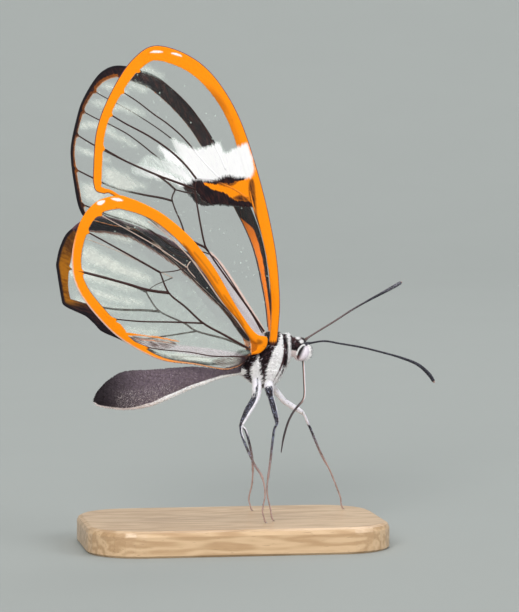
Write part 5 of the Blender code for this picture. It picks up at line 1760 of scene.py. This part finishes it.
class GLASSWING_OT_veins(bpy.types.Operator):
    """Add the veins of the four wings"""
    bl_idname = "glasswing.veins"
    bl_label = "Wing veins"

    def execute(self, context):
        material = vein_finish("wing vein", context.scene.glasswing_wings)
        for name in WING_POSE:
            add_veins(name, material)
        return {"FINISHED"}


class GLASSWING_OT_fringes(bpy.types.Operator):
    """Add the fringe scales along the wing margins"""
    bl_idname = "glasswing.fringes"
    bl_label = "Wing fringes"

    def execute(self, context):
        material = fringe_finish("wing fringe")
        for name in WING_POSE:
            add_fringe(name, context.scene.glasswing_wings, material)
        return {"FINISHED"}


class GLASSWING_OT_body(bpy.types.Operator):
    """Add the skin of head, thorax and abdomen, and its coat"""
    bl_idname = "glasswing.body"
    bl_label = "Body"

    def execute(self, context):
        looks = context.scene.glasswing_body
        add_skin(skin_finish("body skin", looks))
        add_body_coat(looks, coat_finish("body coat", looks))
        return {"FINISHED"}


class GLASSWING_OT_head(bpy.types.Operator):
    """Add eyes, palps, feelers and tongue"""
    bl_idname = "glasswing.head"
    bl_label = "Head parts"

    def execute(self, context):
        looks = context.scene.glasswing_body
        eye_material = eye_finish("compound eye", looks)
        coat_material = coat_finish("head coat", looks)
        limb_material = limb_finish("feeler cuticle", 0.12)
        for word in SIDES:
            add_eye(word, looks, eye_material, coat_material)
            add_palp(word, looks, coat_material, limb_material)
            add_antenna(word, limb_material)
        add_proboscis(limb_material)
        return {"FINISHED"}


class GLASSWING_OT_legs(bpy.types.Operator):
    """Add the four walking legs and the two folded front legs"""
    bl_idname = "glasswing.legs"
    bl_label = "Legs"

    def execute(self, context):
        looks = context.scene.glasswing_body
        material = limb_finish("leg cuticle", 0.8)
        coat_material = coat_finish("leg coat", looks)
        for name in LEG_PATHS:
            add_leg(name, looks, material, coat_material)
        for word in SIDES:
            add_foreleg(word, looks, coat_material)
        return {"FINISHED"}


class GLASSWING_OT_base(bpy.types.Operator):
    """Give the base its wood"""
    bl_idname = "glasswing.base"
    bl_label = "Base"

    def execute(self, context):
        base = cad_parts["stand_base"]
        base.data.materials.clear()
        base.data.materials.append(wood_finish("maple"))
        return {"FINISHED"}


OPERATORS = (GLASSWING_OT_stage, GLASSWING_OT_base, GLASSWING_OT_membranes,
             GLASSWING_OT_veins, GLASSWING_OT_fringes, GLASSWING_OT_body, GLASSWING_OT_head,
             GLASSWING_OT_legs)


class GLASSWING_PT_panel(bpy.types.Panel):
    """Buttons for the pieces of the butterfly"""
    bl_idname = "GLASSWING_PT_panel"
    bl_label = "Glasswing butterfly"
    bl_space_type = "VIEW_3D"
    bl_region_type = "UI"
    bl_category = "Glasswing"

    def draw(self, context):
        for operator in OPERATORS:
            self.layout.operator(operator.bl_idname)
        for group in ("glasswing_wings", "glasswing_body", "glasswing_stage"):
            looks = getattr(context.scene, group)
            box = self.layout.box()
            for name in looks.__annotations__:
                box.prop(looks, name)


CLASSES = (WingLooks, BodyLooks, StageLooks) + OPERATORS + (GLASSWING_PT_panel,)


def register():
    for cls in CLASSES:
        bpy.utils.register_class(cls)
    bpy.types.Scene.glasswing_wings = PointerProperty(type=WingLooks)
    bpy.types.Scene.glasswing_body = PointerProperty(type=BodyLooks)
    bpy.types.Scene.glasswing_stage = PointerProperty(type=StageLooks)


def unregister():
    del bpy.types.Scene.glasswing_wings
    del bpy.types.Scene.glasswing_body
    del bpy.types.Scene.glasswing_stage
    for cls in reversed(CLASSES):
        bpy.utils.unregister_class(cls)


def main():
    register()
    for operator in OPERATORS:
        group, name = operator.bl_idname.split(".")
        getattr(getattr(bpy.ops, group), name)()


if __name__ == "__main__":
    main()
